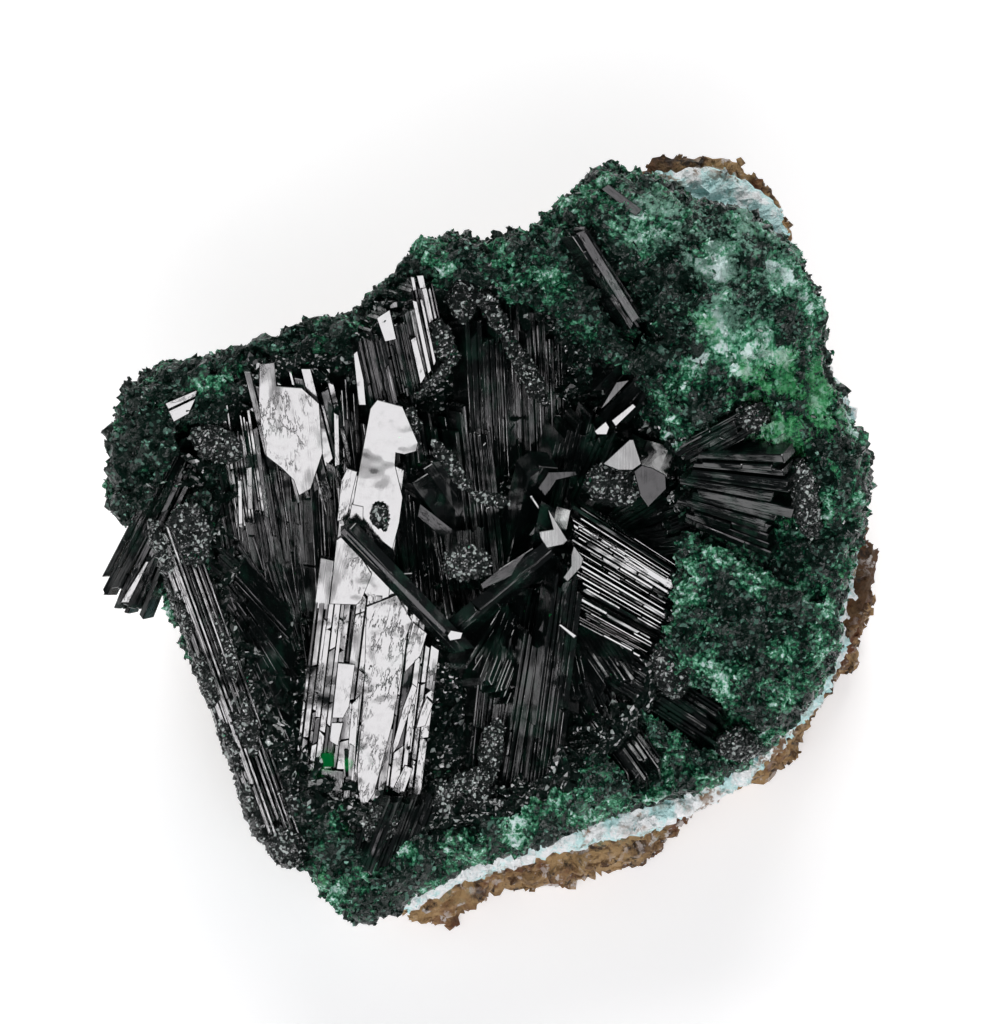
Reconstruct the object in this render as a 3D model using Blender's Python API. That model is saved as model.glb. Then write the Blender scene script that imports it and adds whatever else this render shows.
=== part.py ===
"""Atacamite specimen: a hand-sized piece of ore with a hollow full of long dark prisms.

The stone is built in layers, from the bottom up: a brown limonite base with a flat resting face,
a thin pale chrysocolla layer, and a thick green crust with an open hollow. The large prisms stand
in sockets in that crust. Crystals that grew through each other are joined in one solid.

Sizes are in millimetres in a face frame, which leans forward over the resting face: u runs across
the crystal face, v up it, and w out of it. face_point turns them into metres with +Z up.
"""

import math
import random
from dataclasses import dataclass

import bmesh
import bpy
import numpy as np
from mathutils import Matrix, Vector, noise

MM = 0.001
GAP = 0.3

# The face frame: how far it leans forward from level, and where its origin stands over the base
FACE_LEAN = math.radians(24.0)
FACE_ORIGIN = Vector((0.328, -4.882, 26.0))

# The layers, as heights w in the face frame
CRUST_BOTTOM = -12.0
LAYER_TOP = CRUST_BOTTOM - GAP
LAYER_THICK = 1.4
LAYER_WALL = 1.1
BASE_TOP = LAYER_TOP - LAYER_THICK - GAP
HOLLOW_FLOOR = -9.8

# The step of the layers, as a share of the base's radius, and how far a lining stands off its stone
STEP_SHARE = 0.8
LINING_GAP = GAP + 0.05

# How deep a stub stands in the crust, as a share of its length, and how high its sides go
STUB_ROOT = -0.55
STUB_SHOULDER = 0.62
# How far above a bundle with an open top its socket reaches, and how far past its ends
SOCKET_TOP = 7.0
SOCKET_END = 4 * GAP
# A lath whose bevel would be narrower than this has none
LEAST_BEVEL = 0.17

# The point in the hollow from which every outline is measured, and how finely outlines are cut
HOLLOW_CENTRE = (-2.3, -1.2)
SIDES = 52
# The ring of the crust's section from which its roughness lifts more than it slides
CREST_RING = 5

# The broad faces of the prisms look this way in the face frame, leaning a little down the face
BROAD_FACE_LEAN = math.radians(10.0)
BROAD_FACE = Vector((0.0, -math.sin(BROAD_FACE_LEAN), math.cos(BROAD_FACE_LEAN)))

# Outlines in the face frame, anticlockwise from the right
CRUST_OUTLINE = [
    (20.7, -3.5), (21.2, -1.2), (21.9, 1.2), (22.8, 3.5), (22.2, 5.0), (21.2, 6.6), (20.1, 8.2),
    (19.6, 10.6), (19.4, 12.9), (19.6, 15.0), (18.7, 16.4), (17.6, 17.6), (16.5, 18.7),
    (15.0, 19.1), (13.2, 19.5), (11.8, 20.2), (10.0, 21.0), (8.8, 21.8), (7.1, 21.8),
    (5.6, 21.3), (4.2, 20.3), (3.6, 18.9), (2.4, 18.1), (0.6, 17.6), (-1.5, 18.2), (-3.5, 17.8),
    (-5.0, 16.9), (-6.0, 15.8), (-6.9, 14.1), (-8.2, 13.1), (-9.7, 12.9), (-11.8, 12.6),
    (-13.4, 11.9), (-14.7, 11.2), (-16.8, 10.8), (-18.2, 10.7), (-20.0, 10.1), (-21.3, 9.1),
    (-22.0, 7.6), (-22.4, 5.3), (-22.5, 2.9), (-21.9, 0.9), (-20.4, -0.5), (-19.0, -3.6),
    (-17.6, -6.5), (-16.3, -9.4), (-15.2, -12.1), (-14.4, -14.7), (-13.1, -16.6),
    (-11.6, -18.5), (-10.6, -20.0), (-9.4, -20.9), (-8.4, -22.3), (-7.3, -22.7), (-5.8, -21.9),
    (-4.4, -20.7), (-2.9, -19.9), (-0.9, -19.2), (1.2, -18.2), (3.2, -17.5), (5.9, -16.6),
    (8.8, -15.3), (11.8, -14.7), (14.1, -14.0), (16.2, -12.5), (18.2, -10.0), (19.5, -8.8),
    (20.3, -7.1), (20.6, -5.3),
]
HOLLOW_OUTLINE = [
    (11.6, -1.2), (12.6, 2.6), (10.9, 7.0), (8.2, 10.6), (5.4, 12.6), (3.4, 14.2), (0.0, 15.0),
    (-3.5, 14.6), (-6.2, 12.2), (-9.0, 10.6), (-12.6, 10.2), (-15.6, 7.6), (-16.6, 4.0),
    (-17.0, 0.0), (-16.0, -4.2), (-14.2, -9.0), (-11.6, -14.2), (-9.0, -16.2), (-5.0, -16.8),
    (-1.0, -16.4), (2.6, -15.2), (6.4, -12.6), (9.2, -9.6), (10.8, -5.4),
]
LAYER_OUTLINE = [
    (20.9, -4.5), (21.2, -2.0), (21.7, 0.3), (21.6, 2.6), (21.2, 5.0), (21.3, 7.4), (20.7, 9.2),
    (19.2, 11.0), (18.4, 13.4), (18.2, 16.0), (17.0, 18.8), (16.2, 20.2), (14.7, 21.1),
    (13.0, 21.8), (11.5, 22.3), (10.0, 21.6), (8.0, 20.6), (5.0, 19.0), (2.0, 16.9),
    (-3.0, 16.6), (-7.0, 13.0), (-12.0, 11.4), (-17.0, 9.6), (-20.4, 7.6), (-21.0, 3.6),
    (-20.0, 0.4), (-18.0, -3.6), (-16.4, -7.4), (-14.6, -11.4), (-13.2, -14.6),
    (-11.4, -17.2), (-9.6, -19.4), (-7.2, -21.6), (-5.6, -22.2), (-4.2, -21.2), (-2.7, -20.5),
    (-0.7, -19.9), (1.4, -18.8), (3.4, -18.2), (6.1, -17.6), (8.8, -17.2), (10.6, -16.8),
    (11.9, -15.8), (14.4, -14.2), (16.8, -12.4), (18.8, -10.0), (20.0, -8.4), (20.7, -6.5),
]
BASE_OUTLINE = [
    (23.0, -0.8), (22.3, 1.0), (20.8, 3.5), (19.5, 8.0), (18.5, 13.0), (17.8, 17.2),
    (17.0, 20.4), (15.8, 22.0), (13.8, 22.8), (11.6, 23.5), (10.2, 22.6), (8.0, 20.0),
    (5.0, 18.0), (1.0, 16.0), (-3.0, 15.3), (-7.0, 12.3), (-12.0, 10.4), (-16.0, 8.0),
    (-17.5, 4.5), (-17.3, 0.0), (-15.8, -5.0), (-13.8, -9.5), (-11.8, -13.5), (-9.5, -17.0),
    (-7.2, -19.8), (-5.6, -21.2), (-4.2, -22.2), (-2.6, -22.2), (-1.0, -21.0), (0.6, -19.8),
    (2.0, -19.2), (3.4, -20.0), (5.0, -20.2), (6.4, -18.6), (8.2, -18.5), (9.8, -18.2),
    (11.0, -16.0), (13.2, -13.6), (15.4, -12.3), (17.0, -12.3), (18.2, -11.2), (19.2, -8.6),
    (20.9, -6.0), (22.2, -4.0),
]

# The crest of the crust round the hollow: (degrees round the hollow centre, height w)
CREST_HEIGHTS = [
    (0, -0.6), (14, -0.8), (34, 0.6), (55, -0.4), (80, -2.2), (110, -3.2), (140, -3.4), (165, -2.6),
    (190, -3.0), (215, -3.8), (240, -4.2), (262, -4.6), (285, -4.2), (318, -3.4), (342, -1.4),
]
# How far the crust's foot stands in from its widest line, as a share of the radius
FOOT_SHARES = [
    (0, 0.975), (20, 0.97), (45, 0.96), (60, 0.97), (90, 0.93), (135, 0.90), (180, 0.88),
    (215, 0.90), (240, 0.95), (265, 0.985), (330, 0.985),
]


@dataclass(frozen=True)
class Lath:
    """One flat prism of a bundle: its edges across, its ends as shares of the length, its lift."""

    left: float
    right: float
    start: float
    end: float
    lift: float = 0.0


@dataclass(frozen=True)
class Bundle:
    """Laths grown side by side along one axis, from its low end to its high end on the face.

    It may be rolled about its axis, and spread away from its low end. Nothing of the crust lies
    over one with an open top.
    """

    low: tuple
    high: tuple
    thick: float
    laths: tuple
    roll: float = 0.0
    spread: float = 0.0
    open_top: bool = False


def even_laths(width, count, seed, slack=0.22):
    """Laths of uneven width side by side, each overlapping the next, with ends that step."""
    draw = random.Random(seed)
    shares = [draw.uniform(0.6, 1.4) for _ in range(count)]
    scale = width / sum(shares)
    laths = []
    left = -width / 2
    for share in shares:
        right = left + share * scale
        laths.append(
            Lath(
                left - 0.05,
                right + 0.05,
                draw.uniform(0.0, slack * 0.5),
                1.0 - draw.uniform(0.0, slack),
                draw.uniform(-0.18, 0.18),
            )
        )
        left = right
    return tuple(laths)


# The crystals of the hollow, all grown from its lining
HOLLOW_BUNDLES = [
    # The great blade on the left, its face the brightest
    Bundle(
        (-8.9, -17.2, -7.0), (-5.8, 8.1, -2.6), 1.45,
        (
            Lath(-3.0, -2.1, 0.03, 0.80, -0.25),
            Lath(-2.2, -0.5, 0.00, 0.94, 0.0),
            Lath(-0.6, 1.5, 0.00, 1.00, 0.06),
            Lath(1.4, 2.5, 0.00, 0.70, -0.15),
            Lath(2.4, 3.6, 0.04, 0.56, 0.12),
            Lath(3.5, 4.6, 0.02, 0.47, -0.34),
        ),
    ),
    # The broken blade behind it, and the prisms it grew from
    Bundle(
        (-10.1, -1.2, -7.2), (-13.1, 10.9, -4.0), 1.5,
        (
            Lath(-1.6, -0.3, 0.46, 0.99, 0.0),
            Lath(-0.4, 1.1, 0.26, 0.93, 0.08),
            Lath(1.0, 2.6, 0.10, 0.90, -0.05),
            Lath(2.5, 3.4, 0.00, 0.84, -0.4),
        ),
        open_top=True,
    ),
    Bundle((-9.2, -8.0, -8.6), (-12.6, 2.8, -7.6), 1.4, even_laths(4.4, 2, 11), roll=14.0),
    Bundle((-13.9, 0.2, -6.8), (-15.2, 9.1, -4.2), 1.0, even_laths(1.8, 3, 12, 0.3)),
    # Two long prisms behind the edge prism
    Bundle((-12.3, -11.2, -8.0), (-15.7, -1.4, -5.0), 1.6, even_laths(2.2, 2, 21), roll=20.0),
    Bundle((-11.0, -7.4, -8.2), (-16.2, 0.6, -5.6), 1.5, even_laths(2.0, 2, 22), roll=20.0),
    # The row of narrow blades that hangs from the upper rim
    Bundle(
        (-3.9, 8.0, -5.0), (-5.4, 15.0, -3.6), 2.2,
        (
            Lath(-3.1, -2.2, -0.02, 0.66, -0.1),
            Lath(-2.3, -1.5, -0.05, 0.70, 0.05),
            Lath(-1.6, -0.7, 0.05, 0.86, -0.12),
            Lath(-0.8, 0.0, 0.00, 0.78, 0.08),
            Lath(-0.1, 0.7, 0.06, 0.84, -0.1),
            Lath(0.6, 1.4, 0.10, 1.02, 0.12),
            Lath(1.3, 2.1, 0.18, 0.98, 0.0),
        ),
        open_top=True,
    ),
    # Tall dark prisms in the upper middle
    Bundle((1.0, 2.0, -8.4), (0.4, 15.4, -4.6), 1.8, even_laths(4.4, 4, 41), roll=22.0),
    Bundle((3.6, 3.4, -8.6), (3.2, 14.2, -5.6), 1.8, even_laths(2.6, 2, 42), roll=30.0),
    # Short prisms that cross in the middle, one over the great blade
    Bundle((-1.2, -6.6, -4.0), (-8.5, 1.1, -1.5), 1.1, even_laths(1.5, 1, 51, 0.08), roll=26.0),
    Bundle((-3.0, -5.8, -4.6), (4.0, 0.0, -2.6), 1.4, even_laths(1.2, 2, 52, 0.08)),
    Bundle((0.6, -1.8, -8.2), (-4.3, 4.9, -4.6), 1.6, even_laths(2.5, 2, 53, 0.14), roll=26.0),
    Bundle((-1.2, -3.6, -8.4), (-1.4, -1.2, -3.0), 2.2, even_laths(2.2, 2, 54, 0.10)),
    Bundle((1.6, -2.2, -8.2), (3.3, 4.6, -3.6), 1.6, even_laths(1.8, 2, 55, 0.10), roll=30.0),
    Bundle((2.6, -2.4, -8.0), (3.6, 0.8, -1.6), 1.4, even_laths(1.7, 2, 56, 0.06)),
    # The sheaf below them
    Bundle((2.7, -17.0, -7.2), (4.8, -1.0, -3.0), 1.6, even_laths(1.9, 2, 61, 0.1), roll=10.0),
    Bundle((1.3, -17.0, -7.6), (3.4, -3.8, -4.8), 1.6, even_laths(2.3, 3, 62), roll=20.0),
    Bundle((-0.4, -16.6, -7.8), (0.8, -5.2, -5.6), 1.6, even_laths(2.4, 2, 63), roll=22.0),
    # The fan of fine blades on the right
    Bundle((11.6, -5.9, -5.2), (5.6, -0.6, -4.4), 1.6, even_laths(5.0, 6, 71, 0.14)),
    # Two blades and a prism whose end faces out, in the upper right
    Bundle((6.4, 6.2, -6.8), (10.4, 10.4, -2.6), 1.6, even_laths(1.5, 2, 81, 0.1)),
    Bundle((6.6, 8.6, -5.4), (9.2, 11.2, -3.2), 2.2, even_laths(1.2, 1, 82, 0.1), roll=20.0),
    Bundle((9.2, 1.8, -9.0), (8.2, 4.4, -2.6), 2.6, even_laths(3.4, 2, 83, 0.06), roll=-35.0),
    # The spray of fibres that runs out over the right rim, and a prism above it
    Bundle((10.6, 3.2, -3.4), (18.8, 1.4, 0.2), 1.5, even_laths(3.0, 5, 91, 0.12), spread=12.0, open_top=True),
    Bundle((10.8, 4.6, -3.0), (15.6, 7.2, 0.6), 1.4, even_laths(1.5, 2, 92, 0.16), open_top=True),
    # Dark prisms in the lower right
    Bundle((14.4, -11.8, -3.6), (6.4, -6.6, -7.0), 1.6, even_laths(2.4, 3, 101), roll=16.0, open_top=True),
    Bundle((9.6, -14.0, -4.8), (5.6, -8.4, -7.4), 1.6, even_laths(2.2, 2, 102), roll=16.0, open_top=True),
]
# The crystals that stand on the rim, outside the hollow
EDGE_PRISM_BUNDLES = [
    Bundle(
        (-12.0, -18.2, -5.6), (-18.7, 1.0, -2.0), 2.2,
        (
            Lath(-1.3, -0.6, 0.05, 0.94, -0.4),
            Lath(-0.7, 0.5, 0.00, 1.00, 0.0),
            Lath(0.4, 1.2, 0.00, 0.96, -0.3),
        ),
        roll=18.0, open_top=True,
    ),
]
OUTLYING_BUNDLES = [
    Bundle((-22.5, -3.7, -7.4), (-17.4, 6.0, -5.0), 1.4, even_laths(2.2, 3, 31, 0.1), roll=14.0, open_top=True),
    Bundle((-21.4, -4.6, -7.8), (-19.4, 0.4, -6.4), 1.5, even_laths(1.9, 2, 32, 0.2), open_top=True),
]
CREST_BUNDLES = [
    Bundle((8.8, 12.4, -1.2), (5.1, 18.1, 0.3), 1.6, even_laths(1.3, 2, 84, 0.06), roll=20.0, open_top=True),
]

CRYSTALS = {
    "hollow_crystals": HOLLOW_BUNDLES,
    "edge_prism": EDGE_PRISM_BUNDLES,
    "outlying_blades": OUTLYING_BUNDLES,
    "crest_prism": CREST_BUNDLES,
}

RIM_CRYSTALS = ("edge_prism", "outlying_blades", "crest_prism")

LOOKS = {
    "limonite": ((0.26, 0.13, 0.05), 0.85),
    "chrysocolla": ((0.55, 0.80, 0.78), 0.60),
    "green_crust": ((0.02, 0.12, 0.07), 0.55),
    "atacamite": ((0.004, 0.012, 0.010), 0.08),
}


def face_point(u, v, w):
    """The place in metres of a point of the face frame."""
    across = Vector((1, 0, 0))
    up = Vector((0, math.cos(FACE_LEAN), math.sin(FACE_LEAN)))
    out = Vector((0, -math.sin(FACE_LEAN), math.cos(FACE_LEAN)))
    return (FACE_ORIGIN + u * across + v * up + w * out) * MM


def face_vector(direction):
    """A direction of the face frame as one of the world."""
    return (face_point(*direction) - face_point(0, 0, 0)).normalized()


def material(name):
    """The material of one of the specimen's minerals."""
    made = bpy.data.materials.get(name)
    if made is None:
        colour, roughness = LOOKS[name]
        made = bpy.data.materials.new(name)
        made.use_nodes = True
        shader = made.node_tree.nodes["Principled BSDF"]
        shader.inputs["Base Color"].default_value = (*colour, 1)
        shader.inputs["Roughness"].default_value = roughness
        shader.inputs["Metallic"].default_value = 0.0
    return made


def object_of(name, bm, look, helper=False):
    """A mesh object from bm. A helper only cuts or joins, and isn't a piece."""
    bmesh.ops.triangulate(bm, faces=bm.faces[:])
    bmesh.ops.recalc_face_normals(bm, faces=bm.faces[:])
    mesh = bpy.data.meshes.new(name)
    bm.to_mesh(mesh)
    bm.free()
    mesh.materials.append(material(look))
    made = bpy.data.objects.new(name, mesh)
    if helper:
        made.hide_render = True
        made.display_type = "WIRE"
    else:
        bpy.context.scene.collection.objects.link(made)
    return made


def boolean(target, operation, helpers):
    """Joins helpers to target, or cuts them from it."""
    group = bpy.data.collections.new(f"{operation.lower()}_for_{target.name}")
    group.hide_render = True
    bpy.context.scene.collection.children.link(group)
    for helper in helpers:
        group.objects.link(helper)
    modifier = target.modifiers.new(operation.title(), "BOOLEAN")
    modifier.operation = operation
    modifier.operand_type = "COLLECTION"
    modifier.collection = group
    modifier.solver = "EXACT"


def radius_at(outline, angle):
    """How far an outline is from the hollow's centre in one direction."""
    centre = np.array(HOLLOW_CENTRE)
    arms = np.array(outline) - centre
    angles = np.arctan2(arms[:, 1], arms[:, 0])
    return float(np.interp(angle, angles, np.hypot(arms[:, 0], arms[:, 1]), period=2 * math.pi))


def by_degrees(table, angle):
    """A value that changes round the stone, from a table of degrees and values."""
    degrees, values = zip(*table)
    return float(np.interp(math.degrees(angle), degrees, values, period=360))


def step_radius(angle):
    """Where the layers step down towards their edge."""
    return STEP_SHARE * radius_at(BASE_OUTLINE, angle)


def step_drop(angle):
    """How far the layers step down there, which is uneven all round."""
    return 1.6 + 0.6 * math.sin(2 * angle + 0.7) + 0.25 * math.sin(3 * angle + 2.0)


def on_ring(angle, radius, height):
    """A point of the face frame at an angle and radius round the hollow's centre."""
    return Vector(
        (
            HOLLOW_CENTRE[0] + radius * math.cos(angle),
            HOLLOW_CENTRE[1] + radius * math.sin(angle),
            height,
        )
    )


def roughness_at(place, scale, seed):
    """Smooth noise from -1 to 1 at a place in millimetres."""
    offset = Vector((seed * 7.3, seed * 3.1, seed * 5.7))
    coarse = noise.noise(place / scale + offset)
    fine = noise.noise(place / (scale * 0.4) + offset)
    return coarse + 0.5 * fine


def lofted(rings, first, last, turned=True):
    """A closed mesh through rings of world points, closed by a point at each end.

    Each face between rings is split along one diagonal, or along the other if it isn't turned, so
    that two surfaces which face each other across a gap are split alike.
    """
    bm = bmesh.new()
    loops = [[bm.verts.new(point) for point in ring] for ring in rings]
    for one, two in zip(loops, loops[1:]):
        for i in range(len(one)):
            j = (i + 1) % len(one)
            a, b, c, d = one[i], one[j], two[j], two[i]
            halves = ((a, b, d), (b, c, d)) if turned else ((a, b, c), (a, c, d))
            for half in halves:
                bm.faces.new(half)
    for loop, tip in ((loops[0], bm.verts.new(first)), (loops[-1], bm.verts.new(last))):
        for i in range(len(loop)):
            bm.faces.new((loop[i], loop[(i + 1) % len(loop)], tip))
    return bm


def crust_section(angle):
    """The crust's section in one direction, from its foot over the crest to the hollow's floor.

    Each entry holds a radius, a height, and how far the roughness moves that line.
    """
    rim = radius_at(CRUST_OUTLINE, angle)
    hollow = radius_at(HOLLOW_OUTLINE, angle)
    foot = rim * by_degrees(FOOT_SHARES, angle)
    crest = by_degrees(CREST_HEIGHTS, angle)
    ledge = rim - min(1.7, 0.34 * (rim - hollow))
    across = ledge - hollow
    step = step_radius(angle) + 2 * GAP
    skirt = CRUST_BOTTOM - step_drop(angle)
    return [
        (step, CRUST_BOTTOM, 0.0),
        (step, skirt, 0.0),
        (foot, skirt, 0.0),
        (0.5 * (foot + rim), skirt + 2.6, 0.35),
        (0.995 * rim, 0.5 * (CRUST_BOTTOM + crest), 0.5),
        (0.99 * rim, crest - 1.9, 0.5),
        (ledge, crest - 0.3, 0.8),
        (hollow + 0.78 * across, crest + 0.3, 1.0),
        (hollow + 0.50 * across, crest + 0.1, 1.1),
        (hollow + 0.22 * across, crest - 0.4, 0.9),
        (hollow, crest - 1.2, 0.6),
        (0.965 * hollow, crest - 2.8, 0.4),
        (0.92 * hollow, -7.4, 0.4),
        (0.72 * hollow, -9.2, 0.3),
        (0.38 * hollow, -9.6, 0.3),
    ]


def crust_rings():
    """Rings of face-frame points over the whole crust, with its lumps and pits."""
    angles = [2 * math.pi * i / SIDES for i in range(SIDES)]
    sections = [crust_section(angle) for angle in angles]
    rings = []
    for level in range(len(sections[0])):
        slide, lift = (1.0, 0.35) if level < CREST_RING else (0.3, 1.0)
        ring = []
        for angle, section in zip(angles, sections):
            radius, height, amount = section[level]
            place = on_ring(angle, radius, height)
            bump = amount * roughness_at(place, 2.6, 1)
            ring.append(place + bump * (slide * outward(angle) + Vector((0, 0, lift))))
        rings.append(ring)
    return rings


def outward(angle):
    """The direction away from the hollow's centre, in the face frame."""
    return Vector((math.cos(angle), math.sin(angle), 0))


def in_world(ring):
    """A ring of face-frame points, in metres."""
    return [face_point(*place) for place in ring]


def crust_body(rings):
    """The green crust: a thick uneven mass, open in a hollow that its crest runs round."""
    foot = face_point(*HOLLOW_CENTRE, CRUST_BOTTOM)
    floor = face_point(*HOLLOW_CENTRE, HOLLOW_FLOOR)
    return lofted([in_world(ring) for ring in rings], foot, floor, turned=False)


def moved_in(ring, inward, upward, amount=0.0):
    """A ring moved towards the hollow's middle and up, with some roughness of its own."""
    moved = []
    for i, place in enumerate(ring):
        bump = amount * roughness_at(place, 1.4, 4)
        shift = -(inward + bump) * outward(2 * math.pi * i / len(ring))
        moved.append(place + shift + Vector((0, 0, upward + bump)))
    return moved


def lining_body(rings):
    """The crystalline lining that covers the hollow's floor and walls, on which the prisms stand."""
    upper, lower, slope, floor = rings[-4:]
    backs = [
        moved_in(floor, 0.1, LINING_GAP),
        moved_in(slope, 0.15, LINING_GAP),
        moved_in(lower, 0.35, 0.25),
        moved_in(upper, 0.4, 0.3),
    ]
    fronts = [
        moved_in(upper, 0.9, 1.1, 0.1),
        moved_in(lower, 1.2, 0.9, 0.3),
        moved_in(slope, 0.8, 1.7, 0.5),
        moved_in(floor, 0.2, 1.7, 0.5),
    ]
    back = face_point(*HOLLOW_CENTRE, HOLLOW_FLOOR + LINING_GAP)
    front = face_point(*HOLLOW_CENTRE, HOLLOW_FLOOR + 1.8)
    return lofted([in_world(ring) for ring in backs + fronts], back, front)


def pose_at(place, direction, turn):
    """The matrix that stands a thing made along +Z at a place of the face frame."""
    axis = face_vector(direction)
    stand = axis.to_track_quat("Z", "Y").to_matrix().to_4x4()
    return Matrix.Translation(face_point(*place)) @ stand @ Matrix.Rotation(turn, 4, "Z")


def stub(pose, radius, length, sides=5):
    """A short crystal with flat faces and a blunt point."""
    bm = bmesh.new()
    loops = []
    for height, share in ((STUB_ROOT, 1.0), (STUB_SHOULDER, 1.0), (1.0, 0.45)):
        loop = []
        for i in range(sides):
            turn = 2 * math.pi * i / sides
            corner = Vector((math.cos(turn), 0.7 * math.sin(turn), 0)) * radius * share
            loop.append(bm.verts.new(pose @ ((corner + Vector((0, 0, height * length))) * MM)))
        loops.append(loop)
    close_prism(bm, loops)
    return bm


def close_prism(bm, loops):
    """Faces between loops of the same number of corners, and over both ends."""
    for one, two in zip(loops, loops[1:]):
        for i in range(len(one)):
            j = (i + 1) % len(one)
            bm.faces.new((one[i], one[j], two[j], two[i]))
    bm.faces.new(loops[0])
    bm.faces.new(loops[-1])


def clear_of_bundles(place, bundles):
    """Whether a place of the face frame is away from every bundle that lies open on the crust."""
    point = Vector((place.x, place.y))
    for bundle in bundles:
        low, high = Vector(bundle.low[:2]), Vector(bundle.high[:2])
        share = (point - low).dot(high - low) / (high - low).length_squared
        nearest = low + (high - low) * min(1.1, max(-0.1, share))
        if (point - nearest).length < 0.5 * bundle_width(bundle) + 1.4:
            return False
    return True


def crust_stubs(count):
    """Small crystals and knobs that stand on the crest and the right side of the crust."""
    draw = random.Random(5)
    open_bundles = [bundle for group in CRYSTALS.values() for bundle in group if bundle.open_top]
    made = []
    for i in range(count):
        angle = 2 * math.pi * (i + draw.uniform(-0.4, 0.4)) / count
        rim = radius_at(CRUST_OUTLINE, angle)
        hollow = radius_at(HOLLOW_OUTLINE, angle)
        radius = max(hollow + 1.6, hollow + draw.uniform(0.3, 0.75) * (rim - hollow))
        place = on_ring(angle, radius, by_degrees(CREST_HEIGHTS, angle) - 0.5)
        lean = draw.uniform(-0.5, 0.9) * outward(angle)
        direction = lean + Vector((draw.uniform(-0.4, 0.4), draw.uniform(-0.4, 0.4), 1.0))
        pose = pose_at(place, direction, draw.uniform(0, math.pi))
        size, length = draw.uniform(0.45, 1.1), draw.uniform(1.0, 1.9)
        if clear_of_bundles(place, open_bundles):
            mesh = stub(pose, size, length)
            made.append(object_of(f"crust_stub_{i}", mesh, "green_crust", helper=True))
    return made


def layer_body():
    """The thin chrysocolla layer under the crust, with a rough edge."""
    bottom = LAYER_TOP - LAYER_THICK
    angles = [2 * math.pi * i / SIDES for i in range(SIDES)]
    rings = [[] for _ in range(7)]
    for angle in angles:
        step, drop = step_radius(angle), step_drop(angle)
        rim = radius_at(LAYER_OUTLINE, angle)
        rim += 0.25 * roughness_at(on_ring(angle, rim, 0), 2.0, 2)
        section = (
            (step - LAYER_WALL, bottom),
            (step - LAYER_WALL, bottom - drop),
            (rim - 0.3, bottom - drop),
            (rim, bottom - drop + 0.5 * LAYER_THICK),
            (rim - 0.2, LAYER_TOP - drop),
            (step, LAYER_TOP - drop),
            (step, LAYER_TOP),
        )
        for ring, (radius, height) in zip(rings, section):
            ring.append(face_point(*on_ring(angle, radius, height)))
    return lofted(rings, face_point(*HOLLOW_CENTRE, bottom), face_point(*HOLLOW_CENTRE, LAYER_TOP))


def base_top(angles):
    """The rings over the base's top, which steps down like the layers on it."""
    rings = [[], [], [], []]
    for angle in angles:
        step, drop = step_radius(angle) - LAYER_WALL - 2 * GAP, step_drop(angle)
        rim = radius_at(BASE_OUTLINE, angle)
        section = (
            (step, BASE_TOP),
            (step, BASE_TOP - drop),
            (0.97 * rim, BASE_TOP - drop),
            (rim, BASE_TOP - drop - 0.5),
        )
        for ring, (radius, height) in zip(rings, section):
            ring.append(face_point(*on_ring(angle, radius, height)))
    return rings


def base_body():
    """The limonite base: its top follows the layers, and its underside is cut flat at height 0."""
    centre = face_point(*HOLLOW_CENTRE, BASE_TOP)
    under = Vector((centre.x, centre.y, 0))
    rings = base_top([2 * math.pi * i / SIDES for i in range(SIDES)])
    edge = rings[-1]
    # Down the wall: share of the height left, share of the distance out, roughness
    for left, share, amount in ((0.7, 1.0, 0.8), (0.4, 0.99, 0.9), (0.14, 0.97, 0.5)):
        ring = []
        for point in edge:
            away = Vector((point.x - centre.x, point.y - centre.y, 0))
            place = under + away * share + Vector((0, 0, point.z * left))
            bump = amount * roughness_at(place / MM - FACE_ORIGIN, 3.4, 3)
            ring.append(place + away.normalized() * bump * MM)
        rings.append(ring)
    rings.append([under + 0.95 * (Vector((p.x, p.y, 0)) - under) for p in rings[-1]])
    return lofted(rings, centre, under)


def bundle_width(bundle):
    """How wide a bundle is across all its laths."""
    return max(lath.right for lath in bundle.laths) - min(lath.left for lath in bundle.laths)


def bundle_length(bundle):
    """How long a bundle's axis is."""
    return (Vector(bundle.high) - Vector(bundle.low)).length


def bundle_axes(bundle):
    """The bundle's own axes in the face frame: along it, across it, and out of its broad face."""
    along = (Vector(bundle.high) - Vector(bundle.low)).normalized()
    out = (BROAD_FACE - along * BROAD_FACE.dot(along)).normalized()
    out.rotate(Matrix.Rotation(math.radians(bundle.roll), 3, along))
    return along, along.cross(out), out


def fanned(bundle, across, along):
    """How far across a point goes when the bundle's laths spread away from its low end."""
    turn = math.radians(bundle.spread) * across / (0.5 * bundle_width(bundle))
    return across + (along + 3.0) * math.tan(turn) * bool(bundle.spread)


def prism_mesh(bundle, section, start, end, slope=(0.0, 0.0)):
    """A prism with a section of (across, out) points, from start to end along the bundle.

    Its ends slant: slope says by how much across its upper and its lower end.
    """
    along, across, out = bundle_axes(bundle)
    middle = sum(side for side, _ in section) / len(section)
    bm = bmesh.new()
    loops = []
    for place, lean in ((start, -slope[1]), (end, slope[0])):
        loop = []
        for side, height in section:
            reach = place + lean * (side - middle) - 0.35 * abs(lean) * (height + bundle.thick)
            shift = across * fanned(bundle, side, reach) + out * height
            loop.append(bm.verts.new(face_point(*(Vector(bundle.low) + along * reach + shift))))
        loops.append(loop)
    close_prism(bm, loops)
    return bm


def lath_section(lath, thick):
    """The lath's section: a flat broad face, with bevels beside it where it is wide."""
    bottom = -thick - 0.3 * lath.lift
    bevel = min(0.3, 0.2 * (lath.right - lath.left))
    if bevel < LEAST_BEVEL:
        top = [(lath.left, lath.lift), (lath.right, lath.lift)]
    else:
        top = [
            (lath.left, lath.lift - 1.1 * bevel),
            (lath.left + bevel, lath.lift),
            (lath.right - bevel, lath.lift),
            (lath.right, lath.lift - 1.1 * bevel),
        ]
    return [*top, (lath.right, bottom), (lath.left, bottom)]


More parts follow.
